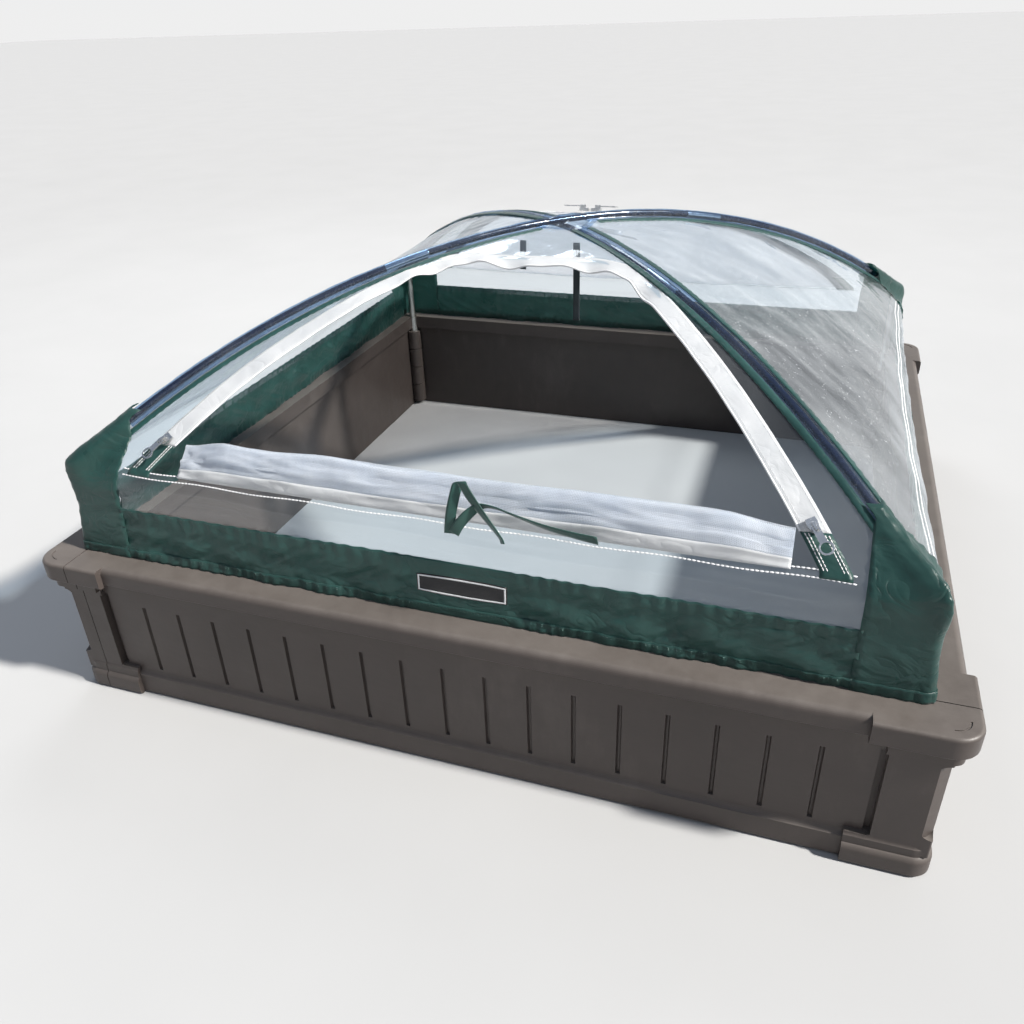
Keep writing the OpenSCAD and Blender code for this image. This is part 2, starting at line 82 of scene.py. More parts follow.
def vault_z(d):
    return ROOF_TOP - HOOP_R + np.sqrt(HOOP_R ** 2 - 2 * d * d)


def vault_slope(d):
    return 2 * d / np.sqrt(HOOP_R ** 2 - 2 * d * d)


EAVE_ANGLE = math.atan(vault_slope(EAVE_D))
EAVE_R = (WALL_D - EAVE_D) / (1 - math.sin(EAVE_ANGLE))
EAVE_Z = vault_z(EAVE_D) - EAVE_R * math.cos(EAVE_ANGLE)
W_WALL = EAVE_D + EAVE_R * (math.pi / 2 - EAVE_ANGLE)
W_SKIRT = W_WALL + EAVE_Z - SKIRT_TOP
SKIRT_LEN = math.hypot(SKIRT_TOP - HEM_Z, HEM_OUT)
W_HEM = W_SKIRT + SKIRT_LEN


def profile(w):
    """Distance, height and outward normal of the cover's sheet at w."""
    w = np.asarray(w, float)
    roof = np.minimum(w, EAVE_D)
    g = vault_slope(roof)
    n = np.sqrt(1 + g * g)
    a = math.pi / 2 - EAVE_ANGLE - np.clip(w - EAVE_D, 0, W_WALL - EAVE_D) / EAVE_R
    over = w > EAVE_D
    d = np.where(over, WALL_D - EAVE_R + EAVE_R * np.cos(a), roof)
    z = np.where(over, EAVE_Z + EAVE_R * np.sin(a), vault_z(roof))
    nd = np.where(over, np.cos(a), g / n)
    nz = np.where(over, np.sin(a), 1 / n)
    z = z - np.clip(w - W_WALL, 0, W_SKIRT - W_WALL)
    down = np.clip(w - W_SKIRT, 0, None) / SKIRT_LEN
    return d + down * HEM_OUT, z - down * (SKIRT_TOP - HEM_Z), nd, nz


def smooth(t):
    t = np.clip(t, 0, 1)
    return t * t * (3 - 2 * t)


def ripple(u, v, scale, seed, waves=9):
    """Smooth pseudo-random waves of about that length, mostly between -1 and 1."""
    rng = np.random.default_rng(seed)
    total = 0
    for _ in range(waves):
        turn, pitch, phase = rng.uniform(0, math.tau), rng.uniform(0.6, 1.7), rng.uniform(0, math.tau)
        total = total + np.sin(math.tau / scale * pitch
                               * (u * math.cos(turn) + v * math.sin(turn)) + phase)
    return total / math.sqrt(waves)


def grid_of(rows, cols):
    return np.meshgrid(rows, cols, indexing="ij")


def unit(vectors):
    return vectors / np.linalg.norm(vectors, axis=-1, keepdims=True)


def lengths(line):
    """How far along a line of points each point is."""
    return np.concatenate([[0], np.cumsum(np.linalg.norm(np.diff(line, axis=0), axis=1))])


def turned(points, degrees):
    a = math.radians(degrees)
    c, s = math.cos(a), math.sin(a)
    p = np.asarray(points, float)
    return np.stack([c * p[..., 0] - s * p[..., 1], s * p[..., 0] + c * p[..., 1], p[..., 2]], -1)


# How deep each side's roof and its eave sag: front, right, rear, left
SAG = (0.002, 0.007, 0.004, 0.006)
EAVE_SAG = (0.006, 0.011, 0.004, 0.006)


def lift(turn, x, w):
    """How far the cover's sheets stand off the CAD's surface, the same for every layer."""
    d = profile(w)[0]
    half = np.maximum(np.minimum(d, WINDOW_HALF), 0.02)
    edge = smooth((half - np.abs(x)) / 0.07)
    across = 1 - np.clip(np.abs(x) / half, 0, 1) ** 2
    sag = -SAG[turn] * across * np.sin(math.pi * np.clip(w / 0.56, 0, 1))
    eave = -EAVE_SAG[turn] * across * np.exp(-((w - 0.55) / 0.035) ** 2)
    slack = 0.0014 if turn == LEFT else 0.0011
    waves = slack * ripple(x, w * 0.55, 0.16, 11 + turn) + 0.0003 * ripple(x, w, 0.05, 31 + turn)
    waves = waves * (1 - 0.75 * np.exp(-((w - 0.542) / 0.022) ** 2))
    bands = 0.0010 * np.sin(math.tau * (w / 0.0215 + 0.30 * ripple(x, 0 * x, 0.45, 71 + turn, 5)))
    bands = bands * edge * smooth((w - 0.552) / 0.012) * smooth((W_SKIRT - w) / 0.010)
    return sag + eave + bands + edge * waves * smooth((W_SKIRT - w) / 0.03 + 0.2)


def side(turn, x, w, off=0.0):
    """Points on one side of the cover, off above its sheet."""
    d, z, nd, nz = profile(w)
    h = off + lift(turn, x, w)
    return turned(np.stack([x + 0 * d, -(d + h * nd), z + h * nz], -1), 90 * turn)


# ---- Mesh and material helpers ---------------------------------------------------------------

def new_object(name, vertices, faces, uvs=None):
    mesh = bpy.data.meshes.new(name)
    mesh.from_pydata([tuple(v) for v in vertices], [], faces)
    if uvs is not None:
        layer = mesh.uv_layers.new(name="UVMap")
        for loop in mesh.loops:
            layer.data[loop.index].uv = uvs[loop.vertex_index]
    mesh.validate()
    for polygon in mesh.polygons:
        polygon.use_smooth = True
    mesh.update()
    obj = bpy.data.objects.new(name, mesh)
    bpy.context.scene.collection.objects.link(obj)
    return obj


MERGE_DIST, DEGENERATE_DIST = 1e-5, 1e-7


class Build:
    """Collects grids of points into one mesh."""

    def __init__(self):
        self.vertices, self.faces, self.uvs = [], [], []

    def grid(self, points, uv=None, loop=False, flip=False):
        points = np.asarray(points, float)
        rows, cols = points.shape[:2]
        base = len(self.vertices)
        self.vertices += points.reshape(-1, 3).tolist()
        uv = np.zeros((rows, cols, 2)) if uv is None else np.asarray(uv, float)
        self.uvs += uv.reshape(-1, 2).tolist()
        for i in range(rows - 1):
            for j in range(cols if loop else cols - 1):
                k = (j + 1) % cols
                quad = [base + i * cols + j, base + i * cols + k,
                        base + (i + 1) * cols + k, base + (i + 1) * cols + j]
                self.faces.append(quad[::-1] if flip else quad)
        return self

    def object(self, name):
        obj = new_object(name, self.vertices, self.faces, self.uvs)
        bm = bmesh.new()
        bm.from_mesh(obj.data)
        bmesh.ops.remove_doubles(bm, verts=bm.verts, dist=MERGE_DIST)
        bmesh.ops.dissolve_degenerate(bm, edges=bm.edges, dist=DEGENERATE_DIST)
        bm.to_mesh(obj.data)
        bm.free()
        return obj


def thicken(obj, thickness, offset=-1.0):
    m = obj.modifiers.new("thickness", "SOLIDIFY")
    m.thickness, m.offset = thickness, offset
    return obj


def tube(path, radii, sides):
    """Rings of points round a path, one radius for each."""
    path = np.asarray(path, float)
    tangent = unit(np.gradient(path, axis=0))
    out = unit(np.cross(tangent, np.array([0, 0, 1.0])))
    over = np.cross(out, tangent)
    angles = np.arange(sides) * math.tau / sides
    ring = (out[:, None] * np.cos(angles)[None, :, None]
            + over[:, None] * np.sin(angles)[None, :, None])
    return path[:, None] + ring * np.asarray(radii, float)[:, None, None]


def shade(mat, kind, inputs=None, **settings):
    """A shader node of that kind, with the values of its unlinked inputs and its settings."""
    node = mat.node_tree.nodes.new("ShaderNode" + kind)
    for key, value in settings.items():
        setattr(node, key, value)
    for key, value in (inputs or {}).items():
        node.inputs[key].default_value = value
    return node


def wire(mat, *pairs):
    for a, b in pairs:
        mat.node_tree.links.new(a, b)


def feed(mat, socket, value):
    """Gives a socket its number, or links the output that drives it."""
    if isinstance(value, (int, float)):
        socket.default_value = value
    else:
        wire(mat, (value, socket))


def principled(name, colour, roughness, **more):
    mat = bpy.data.materials.new(name)
    mat.use_nodes = True
    bsdf = mat.node_tree.nodes["Principled BSDF"]
    bsdf.inputs["Base Color"].default_value = (*colour, 1)
    bsdf.inputs["Roughness"].default_value = roughness
    for key, value in more.items():
        bsdf.inputs[key.replace("_", " ")].default_value = value
    return mat, bsdf


def coords(mat, source="Object", scale=(1, 1, 1), rotation=(0, 0, 0)):
    mapping = shade(mat, "Mapping", {"Scale": scale, "Rotation": rotation})
    wire(mat, (shade(mat, "TexCoord").outputs[source], mapping.inputs["Vector"]))
    return mapping.outputs["Vector"]


def noise(mat, vector, scale, detail=4.0, roughness=0.55, distortion=0.0):
    n = shade(mat, "TexNoise", {"Scale": scale, "Detail": detail, "Roughness": roughness,
                                "Distortion": distortion})
    wire(mat, (vector, n.inputs["Vector"]))
    return n.outputs["Fac"]


def wave(mat, vector, pitch, direction):
    """Bands that repeat every pitch, in metres."""
    n = shade(mat, "TexWave", {"Scale": math.tau / 20 / pitch}, wave_type="BANDS",
              bands_direction=direction)
    wire(mat, (vector, n.inputs["Vector"]))
    return n.outputs["Fac"]


def math_node(mat, operation, a, b=None, clamp=False):
    n = shade(mat, "Math", operation=operation, use_clamp=clamp)
    feed(mat, n.inputs[0], a)
    if b is not None:
        feed(mat, n.inputs[1], b)
    return n.outputs[0]


def times(mat, a, b, clamp=False):
    return math_node(mat, "MULTIPLY", a, b, clamp)


def mix_shaders(mat, share, first, second):
    """A mix of two shaders, with that share of the second."""
    node = shade(mat, "MixShader")
    feed(mat, node.inputs[0], share)
    wire(mat, (first.outputs[0], node.inputs[1]), (second.outputs[0], node.inputs[2]))
    return node


def cover_with(mat, shader):
    """Makes a shader the material's surface."""
    wire(mat, (shader.outputs[0], mat.node_tree.nodes["Material Output"].inputs["Surface"]))


def ramp(mat, factor, stops):
    n = shade(mat, "ValToRGB")
    while len(n.color_ramp.elements) < len(stops):
        n.color_ramp.elements.new(0.5)
    for element, (place, colour) in zip(n.color_ramp.elements, stops):
        element.position = place
        element.color = (*colour, 1)
    wire(mat, (factor, n.inputs["Fac"]))
    return n.outputs["Color"]


def spread(mat, factor, low, high, from_low=0.3, from_high=0.7):
    n = shade(mat, "MapRange", {"From Min": from_low, "From Max": from_high, "To Min": low,
                                "To Max": high})
    wire(mat, (factor, n.inputs["Value"]))
    return n.outputs["Result"]


def vary(mat, bsdf, factor, stops, tone=None, low=0.0, high=1.0):
    """Colour from a ramp over factor and, where tone is given, roughness from low to high."""
    wire(mat, (ramp(mat, factor, stops), bsdf.inputs["Base Color"]))
    if tone is not None:
        wire(mat, (spread(mat, tone, low, high), bsdf.inputs["Roughness"]))


def bumped(mat, heights, *nodes):
    """Chains bump nodes, given as (height, strength, distance in metres), into nodes' normals."""
    normal = None
    for height, strength, distance in heights:
        b = shade(mat, "Bump", {"Strength": strength, "Distance": distance})
        wire(mat, (height, b.inputs["Height"]))
        if normal is not None:
            wire(mat, (normal, b.inputs["Normal"]))
        normal = b.outputs["Normal"]
    for node in nodes:
        wire(mat, (normal, node.inputs["Normal"]))


# ---- Materials -------------------------------------------------------------------------------

def bed_plastic():
    mat, bsdf = principled("bed_plastic", (0.09, 0.07, 0.06), 0.40, Specular_IOR_Level=0.35)
    v = coords(mat)
    blotch = noise(mat, v, 5, 5, 0.6)
    dust = noise(mat, coords(mat, scale=(1, 1, 0.35)), 38, 6, 0.7)
    both = math_node(mat, "ADD", times(mat, blotch, 0.6), times(mat, dust, 0.4))
    # The true normal's height mixes in a second, lighter ramp on faces that turn upwards: painted
    # sunlight on the bed's tops.
    facing_up = shade(mat, "SeparateXYZ")
    wire(mat, (shade(mat, "NewGeometry").outputs["True Normal"], facing_up.inputs[0]))
    painted_top_light = shade(mat, "Mix", data_type="RGBA")
    colour_in = [socket for socket in painted_top_light.inputs if socket.type == "RGBA"]
    wire(mat, (ramp(mat, both, [(0.30, (0.052, 0.043, 0.039)), (0.55, (0.066, 0.054, 0.049)),
                                (0.78, (0.100, 0.085, 0.077))]), colour_in[0]),
         (ramp(mat, both, [(0.30, (0.105, 0.090, 0.080)), (0.70, (0.175, 0.156, 0.142))]),
          colour_in[1]),
         (spread(mat, facing_up.outputs["Z"], 0.0, 0.75, 0.30, 0.95), painted_top_light.inputs[0]),
         ([socket for socket in painted_top_light.outputs if socket.type == "RGBA"][0],
          bsdf.inputs["Base Color"]),
         (spread(mat, dust, 0.34, 0.55), bsdf.inputs["Roughness"]))
    grain = noise(mat, v, 900, 3, 0.6)
    pebble = noise(mat, v, 260, 4, 0.6)
    flow = noise(mat, coords(mat, scale=(1, 1, 3)), 9, 3, 0.5)
    bumped(mat, [(flow, 0.35, 0.0022), (pebble, 0.25, 0.0004), (grain, 0.3, 0.00012)], bsdf)
    return mat


def metal(name, colour, roughness, scratch=0.12):
    mat, bsdf = principled(name, colour, roughness, Metallic=1.0)
    v = coords(mat, scale=(1, 1, 0.2))
    smudge = noise(mat, coords(mat), 60, 5, 0.65)
    vary(mat, bsdf, smudge, [(0.3, tuple(c * 0.82 for c in colour)), (0.7, colour)],
         smudge, roughness * 0.7, roughness * 1.7)
    bumped(mat, [(noise(mat, v, 700, 4, 0.7), scratch, 0.00015)], bsdf)
    return mat


def fibreglass():
    mat, bsdf = principled("fibreglass", (0.006, 0.010, 0.028), 0.22, Coat_Weight=0.5,
                           Coat_Roughness=0.12)
    streak = noise(mat, coords(mat), 140, 5, 0.7)
    vary(mat, bsdf, streak, [(0.3, (0.004, 0.007, 0.020)), (0.7, (0.012, 0.020, 0.048))],
         streak, 0.16, 0.34)
    bumped(mat, [(streak, 0.2, 0.0002)], bsdf)
    return mat


def clear_vinyl(name, haze_low, haze_high, speckle, crinkle=1.0, tint=(0.84, 0.90, 0.94),
                edge=0.8, polish=0.055):
    """Clear film: see-through face on, mirror-like edge on, with a little dust and scuffing."""
    mat = bpy.data.materials.new(name)
    mat.use_nodes = True
    mat.node_tree.nodes.remove(mat.node_tree.nodes["Principled BSDF"])
    clear = shade(mat, "BsdfTransparent", {"Color": (*tint, 1)})
    gloss = shade(mat, "BsdfGlossy", {"Color": (0.92, 0.96, 1.0, 1), "Roughness": polish})
    dust = shade(mat, "BsdfDiffuse", {"Color": (0.84, 0.88, 0.91, 1)})
    v = coords(mat)
    soft = noise(mat, v, 7, 3, 0.5, 0.6)
    fold = noise(mat, coords(mat, scale=(1, 1, 2.4)), 24, 3, 0.55, 0.9)
    flecks = noise(mat, v, 250, 3, 0.7)
    scuff = noise(mat, coords(mat, scale=(1, 0.25, 1)), 75, 5, 0.75, 1.2)
    weight = shade(mat, "LayerWeight", {"Blend": 0.5})
    facing = math_node(mat, "POWER", weight.outputs["Facing"], 3.6)
    shine = math_node(mat, "ADD", times(mat, facing, edge), 0.06, True)
    specks = times(mat, spread(mat, flecks, 0, 1, 0.60, 0.74), spread(mat, scuff, 0.15, 1, 0.40, 0.68))
    haze = math_node(mat, "ADD", spread(mat, soft, haze_low, haze_high, 0.35, 0.7),
                     times(mat, specks, speckle), True)
    cover_with(mat, mix_shaders(mat, haze, mix_shaders(mat, shine, clear, gloss), dust))
    bumped(mat, [(soft, 0.5 * crinkle, 0.006), (fold, 0.16 * crinkle, 0.0022)], gloss, weight)
    return mat


def woven(name, dark, light, roughness, pitch, sheen=0.25, wrinkle=0.4, source="UV",
          through=0.0):
    """Cloth with a plain weave of that pitch, soft wrinkles and worn highlights."""
    mat, bsdf = principled(name, light, roughness, Sheen_Weight=sheen, Sheen_Roughness=0.4,
                           Specular_IOR_Level=0.5)
    v = coords(mat, source)
    warp, weft = wave(mat, v, pitch, "X"), wave(mat, v, pitch, "Y")
    weave = math_node(mat, "MAXIMUM", warp, weft)
    tone = noise(mat, coords(mat), 17, 5, 0.6)
    crease = noise(mat, coords(mat, scale=(1, 1, 1.7), rotation=(0.3, 0.9, 0.2)), 17, 3, 0.45, 1.3)
    crease = math_node(mat, "ABSOLUTE", math_node(mat, "SUBTRACT", crease, 0.5))
    crease = math_node(mat, "POWER", times(mat, crease, 4.0, True), 0.7)
    mixed = math_node(mat, "ADD", times(mat, tone, 0.75), times(mat, weave, 0.25))
    vary(mat, bsdf, mixed, [(0.32, dark), (0.72, light)], tone, roughness - 0.07, roughness + 0.1)
    bumped(mat, [(crease, wrinkle, 0.0026), (weave, 0.35, 0.00016)], bsdf)
    if through:
        glow = shade(mat, "BsdfTranslucent",
                     {"Color": (*[min(1, 0.10 + c * 6) for c in light], 1)})
        cover_with(mat, mix_shaders(mat, through, bsdf, glow))
    return mat


def netting(name, pitch, cover):
    """White insect mesh: threads with open holes between them."""
    mat, bsdf = principled(name, (0.68, 0.72, 0.78), 0.55, Sheen_Weight=0.1)
    v = coords(mat, "UV")
    warp, weft = wave(mat, v, pitch, "X"), wave(mat, v, pitch, "Y")
    thread = math_node(mat, "MAXIMUM", warp, weft)
    tone = noise(mat, coords(mat), 22, 4, 0.6)
    solid = spread(mat, thread, 0.12, 0.95, 1 - cover, 1 - cover + 0.22)
    shown = times(mat, solid, spread(mat, tone, 0.86, 1.0))
    glow = shade(mat, "BsdfTranslucent", {"Color": (0.66, 0.72, 0.80, 1)})
    vary(mat, bsdf, tone, [(0.3, (0.62, 0.67, 0.74)), (0.7, (0.72, 0.75, 0.79))])
    cover_with(mat, mix_shaders(mat, shown, shade(mat, "BsdfTransparent"),
                                mix_shaders(mat, 0.4, bsdf, glow)))
    bumped(mat, [(noise(mat, coords(mat, scale=(0.3, 1, 1)), 30, 3, 0.5), 0.25, 0.0012),
                 (thread, 0.3, 0.0003)], bsdf)
    return mat


M = {
    "bed": bed_plastic(),
    "steel": metal("steel", (0.62, 0.62, 0.60), 0.34),
    "ferrule": metal("ferrule_metal", (0.88, 0.89, 0.90), 0.14, 0.06),
    "zip": metal("zip_metal", (0.80, 0.80, 0.79), 0.20),
    "pole": fibreglass(),
    "vinyl": clear_vinyl("clear_vinyl", 0.01, 0.05, 0.10, polish=0.085),
    "hazy_vinyl": clear_vinyl("hazy_vinyl", 0.02, 0.12, 0.80),
    "sleeve": clear_vinyl("sleeve_vinyl", 0.0, 0.02, 0.05, 0.8, (0.54, 0.66, 0.80), 0.4, 0.15),
    "green": woven("green_fabric", (0.009, 0.033, 0.030), (0.024, 0.076, 0.067), 0.33, 0.0009,
                   0.14, 0.55, through=0.26),
    "binding": woven("green_binding", (0.008, 0.036, 0.035), (0.021, 0.080, 0.073), 0.38, 0.0011,
                     0.2, 0.3, through=0.25),
    "tape": woven("zip_tape", (0.46, 0.48, 0.50), (0.60, 0.61, 0.62), 0.62, 0.0012, 0.2, 0.25,
                  through=0.1),
    "teeth": woven("zip_teeth", (0.62, 0.63, 0.65), (0.84, 0.84, 0.84), 0.34, 0.0022, 0.0, 0.1,
                   "Object"),
    "net": netting("white_mesh", 0.0019, 0.52),
    "webbing": woven("green_webbing", (0.006, 0.034, 0.028), (0.020, 0.085, 0.070), 0.55, 0.0016,
                     0.3, 0.2),
    "dark_webbing": woven("dark_webbing", (0.006, 0.011, 0.014), (0.018, 0.028, 0.034), 0.6,
                          0.0014, 0.3, 0.2),
    "label": woven("label_weave", (0.006, 0.006, 0.007), (0.020, 0.020, 0.023), 0.6, 0.0008, 0.2,
                   0.15),
    "label_edge": woven("label_border", (0.62, 0.63, 0.64), (0.86, 0.86, 0.86), 0.6, 0.0008, 0.2,
                        0.1),
    "white_thread": woven("white_thread", (0.62, 0.63, 0.64), (0.82, 0.82, 0.82), 0.6, 0.0005,
                          0.2, 0.1, "Object"),
    "green_thread": woven("green_thread", (0.20, 0.42, 0.36), (0.42, 0.66, 0.58), 0.6, 0.0005,
                          0.2, 0.1, "Object"),
}


def finish_piece(obj, material, body, slot, *nodes):
    """Gives a piece its material and body, and hides the CAD nodes that it stands for; slot is not
    used.
    """
    obj.data.materials.clear()
    obj.data.materials.append(M[material])
    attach(obj, body)
    if nodes:
        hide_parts(*nodes)
    return obj


# ---- CAD nodes that stay: bed, pins, poles, ferrules, elbows, sliders, pulls --------------------

BEVEL_ANGLE = math.radians(32)      # edges sharper than this are rounded


def dress(name, material, bevel):
    """Material and softly rounded edges for a CAD node."""
    obj = NODES[name]
    obj.data.materials.clear()
    obj.data.materials.append(M[material])
    if "custom_normal" in obj.data.attributes:
        obj.data.attributes.remove(obj.data.attributes["custom_normal"])
    for polygon in obj.data.polygons:
        polygon.use_smooth = True
    weld = obj.modifiers.new("weld", "WELD")
    weld.merge_threshold = 0.00002
    soft = obj.modifiers.new("soft_edges", "BEVEL")
    soft.width, soft.segments, soft.limit_method = bevel, 2, "ANGLE"
    soft.angle_limit = BEVEL_ANGLE
    soft.harden_normals = True
    obj.modifiers.new("normals", "WEIGHTED_NORMAL").keep_sharp = False


for wall in ("front_wall", "right_wall", "rear_wall", "left_wall"):
    dress(wall, "bed", 0.0014)
dress("corner_pins", "steel", 0.0005)
dress("corner_elbows", "steel", 0.0005)
dress("upper_hoop_pole", "pole", 0.0004)
dress("lower_hoop_pole", "pole", 0.0004)
dress("pole_ferrules", "ferrule", 0.0003)
for place in ("front_left", "front_right", "rear_left", "rear_right"):
    dress(place + "_slider", "zip", 0.0005)
    dress(place + "_pull", "zip", 0.0005)

# ---- Stitching -------------------------------------------------------------------------------

# Pitch, length, width and height of one stitch, in metres
SEAM_STITCH = (0.0046, 0.0032, 0.0009, 0.0005)
HEM_STITCH = (0.0046, 0.0032, 0.0010, 0.0005)
EAVE_STITCH = (0.0052, 0.0047, 0.0019, 0.0007)
TAPE_STITCH = (0.0040, 0.0028, 0.0008, 0.0004)
TAPE_END_STITCH = (0.0046, 0.0041, 0.0013, 0.0006)
BINDING_STITCH = (0.0052, 0.0034, 0.0009, 0.0006)
# A stitch's section: place along it, width and height, each as a share
STITCH_PROFILE = ((-1.0, 0.25, 0.0), (-0.6, 0.9, 0.75), (0.0, 1.0, 1.0), (0.6, 0.9, 0.75),
                  (1.0, 0.25, 0.0))


def sew(build, point, t0, t1, pitch, length, width, height):
    """Lockstitches along point(t, off): t runs from t0 to t1, off stands above the fabric."""
    fine = np.linspace(t0, t1, 400)
    line = point(fine, 0.0)
    at = lengths(line)
    above = unit(point(fine, 0.001) - line)
    pick = lambda table, s: np.stack([np.interp(s, at, table[:, i]) for i in range(3)], -1)
    for centre in np.arange(pitch / 2, at[-1] - pitch / 2, pitch):
        rows = []
        for along, wide, high in STITCH_PROFILE:
            s = centre + along * length / 2
            p, n = pick(line, s), pick(above, s)
            t = pick(line, s + 0.0005) - pick(line, s - 0.0005)
            b = np.cross(unit(t), n) * width / 2 * wide
            rows.append([p - b, p + n * (height * high + 0.0001), p + b])
        build.grid(rows, [[(0, 0)] * 3] * 5, flip=True)


white_stitches, green_stitches = Build(), Build()


# ---- Clear windows ---------------------------------------------------------------------------

W_LOW = W_SKIRT + 0.006
GUSSET_X = WINDOW_HALF + 0.004


def metres_uv(points):
    """Texture coordinates in metres, measured along the rows and the columns of a grid."""
    p = np.asarray(points, float)
    u = np.concatenate([np.zeros((len(p), 1)),
                        np.cumsum(np.linalg.norm(np.diff(p, axis=1), axis=2), axis=1)], 1)
    v = np.concatenate([np.zeros((1, p.shape[1])),
                        np.cumsum(np.linalg.norm(np.diff(p, axis=0), axis=2), axis=0)], 0)
    middle = p.shape[1] // 2
    return np.stack([u - u[:, middle:middle + 1], v], -1)


def sheet_object(name, grids):
    build = Build()
    for points in grids:
        build.grid(points, metres_uv(points))
    return build.object(name)


W_TABLE = np.linspace(0, W_HEM, 3000)
RUN_TABLE = np.concatenate([[0], np.cumsum(np.hypot(*[np.diff(c) for c in profile(W_TABLE)[:2]]))])


def flat_cut(*grids):
    """Smallest rectangle and area of a panel's cut: its (x, w) grids unrolled along the profile."""
    area, flats = 0.0, []
    for x, w in grids:
        p = np.stack([x, np.interp(w, W_TABLE, RUN_TABLE)], -1)
        flats.append(p.reshape(-1, 2))
        one, two = p[1:, 1:] - p[:-1, :-1], p[1:, :-1] - p[:-1, 1:]
        area += float(np.abs(one[..., 0] * two[..., 1] - one[..., 1] * two[..., 0]).sum() / 2)
    p, best = np.concatenate(flats), None
    for degrees in range(0, 90, 3):
        a = math.radians(degrees)
        spun = p @ np.array([[math.cos(a), -math.sin(a)], [math.sin(a), math.cos(a)]])
        size = np.ptp(spun, axis=0)
        if best is None or size.prod() < 0.98 * best.prod():
            best = size
    return {"flat": tuple(best.tolist()), "area": min(area, float(best.prod()))}


def plain_window():
    """The clear cut of a side without a doorway."""
    w = np.concatenate([np.linspace(0.030, EAVE_D, 66), np.linspace(EAVE_D, W_LOW, 14)[1:]])
    wide, across = grid_of(w, np.linspace(-1, 1, 101))
    half = np.minimum(profile(wide)[0] - 0.012, GUSSET_X)
    return {"": (across * half, wide)}


R_MID = ARCH_R - TAPE_W / 2
SIDE_TURN = -math.atan(ARCH_SLOPE)
TANGENT_D = ARCH_CD + R_MID * math.sin(SIDE_TURN)
SIDE_RUN = (SILL_D - TANGENT_D) * ARCH_NORM
ARC_RUN = R_MID * (math.pi / 2 + SIDE_TURN)
ARCH_RUN = 2 * (SIDE_RUN + ARC_RUN + ARCH_CX)


def arch(t, inset):
    """Plan point (x, d) on the doorway's arch at length t from its right foot, inset inwards."""
    t, inset = np.broadcast_arrays(np.asarray(t, float), np.asarray(inset, float))
    right = t <= ARCH_RUN / 2
    s = np.where(right, t, ARCH_RUN - t)
    r = ARCH_R - inset
    tangent = ARCH_CD + r * math.sin(SIDE_TURN)
    up = np.clip(s / SIDE_RUN, 0, 1)
    d_line = SILL_D + (tangent - SILL_D) * up
    x_line = ARCH_SLOPE * d_line + ARCH_IN - inset * ARCH_NORM
    a = SIDE_TURN - np.clip((s - SIDE_RUN) / R_MID, 0, math.pi / 2 + SIDE_TURN)
    top = np.clip(s - SIDE_RUN - ARC_RUN, 0, ARCH_CX)
    on_line = s < SIDE_RUN
    x = np.where(on_line, x_line, ARCH_CX + r * np.cos(a) - top)
    d = np.where(on_line, d_line, ARCH_CD + r * np.sin(a))
    return np.where(right, x, -x), d


def door_window():
    """The clear cuts round a doorway: a low strip, and a side piece up each side of the arch."""
    t = np.linspace(0, ARCH_RUN / 2, 121)
    x_in, d_in = arch(t, 0.010)
    past = np.clip((t - SIDE_RUN) / ARC_RUN, 0, 1)
    across = np.clip((t - SIDE_RUN - ARC_RUN) / ARCH_CX, 0, 1)
    d_out = np.where(t < SIDE_RUN, d_in, TANGENT_D + (0.030 - TANGENT_D) * past)
    x_out = np.minimum(d_out - 0.012, GUSSET_X) * (1 - across)
    share = np.linspace(0, 1, 25)[:, None]
    x, d = x_in + (x_out - x_in) * share, d_in + (d_out - d_in) * share
    low = np.concatenate([np.linspace(SILL_D, EAVE_D, 3), np.linspace(EAVE_D, W_LOW, 16)[1:]])
    wide, across = grid_of(low, np.linspace(-GUSSET_X, GUSSET_X, 111))
    return {"": (across, wide), "_right_side": (x, d), "_left_side": (-x, d)}


windows, window_cuts = {}, {}
for turn, name in enumerate(SIDES):
    cuts = door_window() if turn in (FRONT, REAR) else plain_window()
    material = "hazy_vinyl" if turn == RIGHT else "vinyl"
    for part, (x, w) in cuts.items():
        piece = sheet_object("clear_window_" + name + part, [side(turn, x, w)])
        windows[turn, part] = finish_piece(piece, material, "cover", "clear_vinyl",
                                           name + "_window")
        window_cuts[turn, part] = flat_cut((x, w))

# ---- Green skirt, corner gussets and hem -----------------------------------------------------

HEM_H = 0.013
FRONT_SKIRT = 50            # the front skirt's seed; each quarter turn adds 7
GUSSET_SEED = 400
ARM_COLS = 15               # columns of a gusset's cloth on each side of its corner
UPPER_POLE_ENDS = (45, -135)
LABEL_X, LABEL_Z, LABEL_W, LABEL_H = 0.024, 0.271, 0.118, 0.028


def drape_skirt(x, w, seed):
    """Puckers below the seam, soft folds lower down and a ruffled hem, in metres outwards."""
    label = smooth((0.072 - np.abs(x - LABEL_X)) / 0.014) if seed == FRONT_SKIRT else 0.0
    down = np.clip((w - W_SKIRT) / SKIRT_LEN, 0, 1)
    waver = 2.2 * ripple(x, 0 * x, 0.13, seed + 5)
    pucker = 0.0010 * np.sin(math.tau * x / 0.021 + waver) * np.exp(-down / 0.22)
    folds = 0.0019 * ripple(x, w * 1.6, 0.085, seed) * smooth(down * 3)
    slant = ripple(x * 0.8 + w * 1.3, w * 0.3, 0.040, seed + 1, 5)
    creases = 0.0021 * (0.45 - np.abs(slant)) * smooth(down * 3) * smooth((0.9 - down) * 5)
    hem = 0.0009 * np.sin(math.tau * x / 0.017 + 1.7 * waver) * smooth((down - 0.72) / 0.12)
    return (pucker + folds + creases + hem) * (1 - 0.92 * label) - 0.0012 * smooth(down * 2)


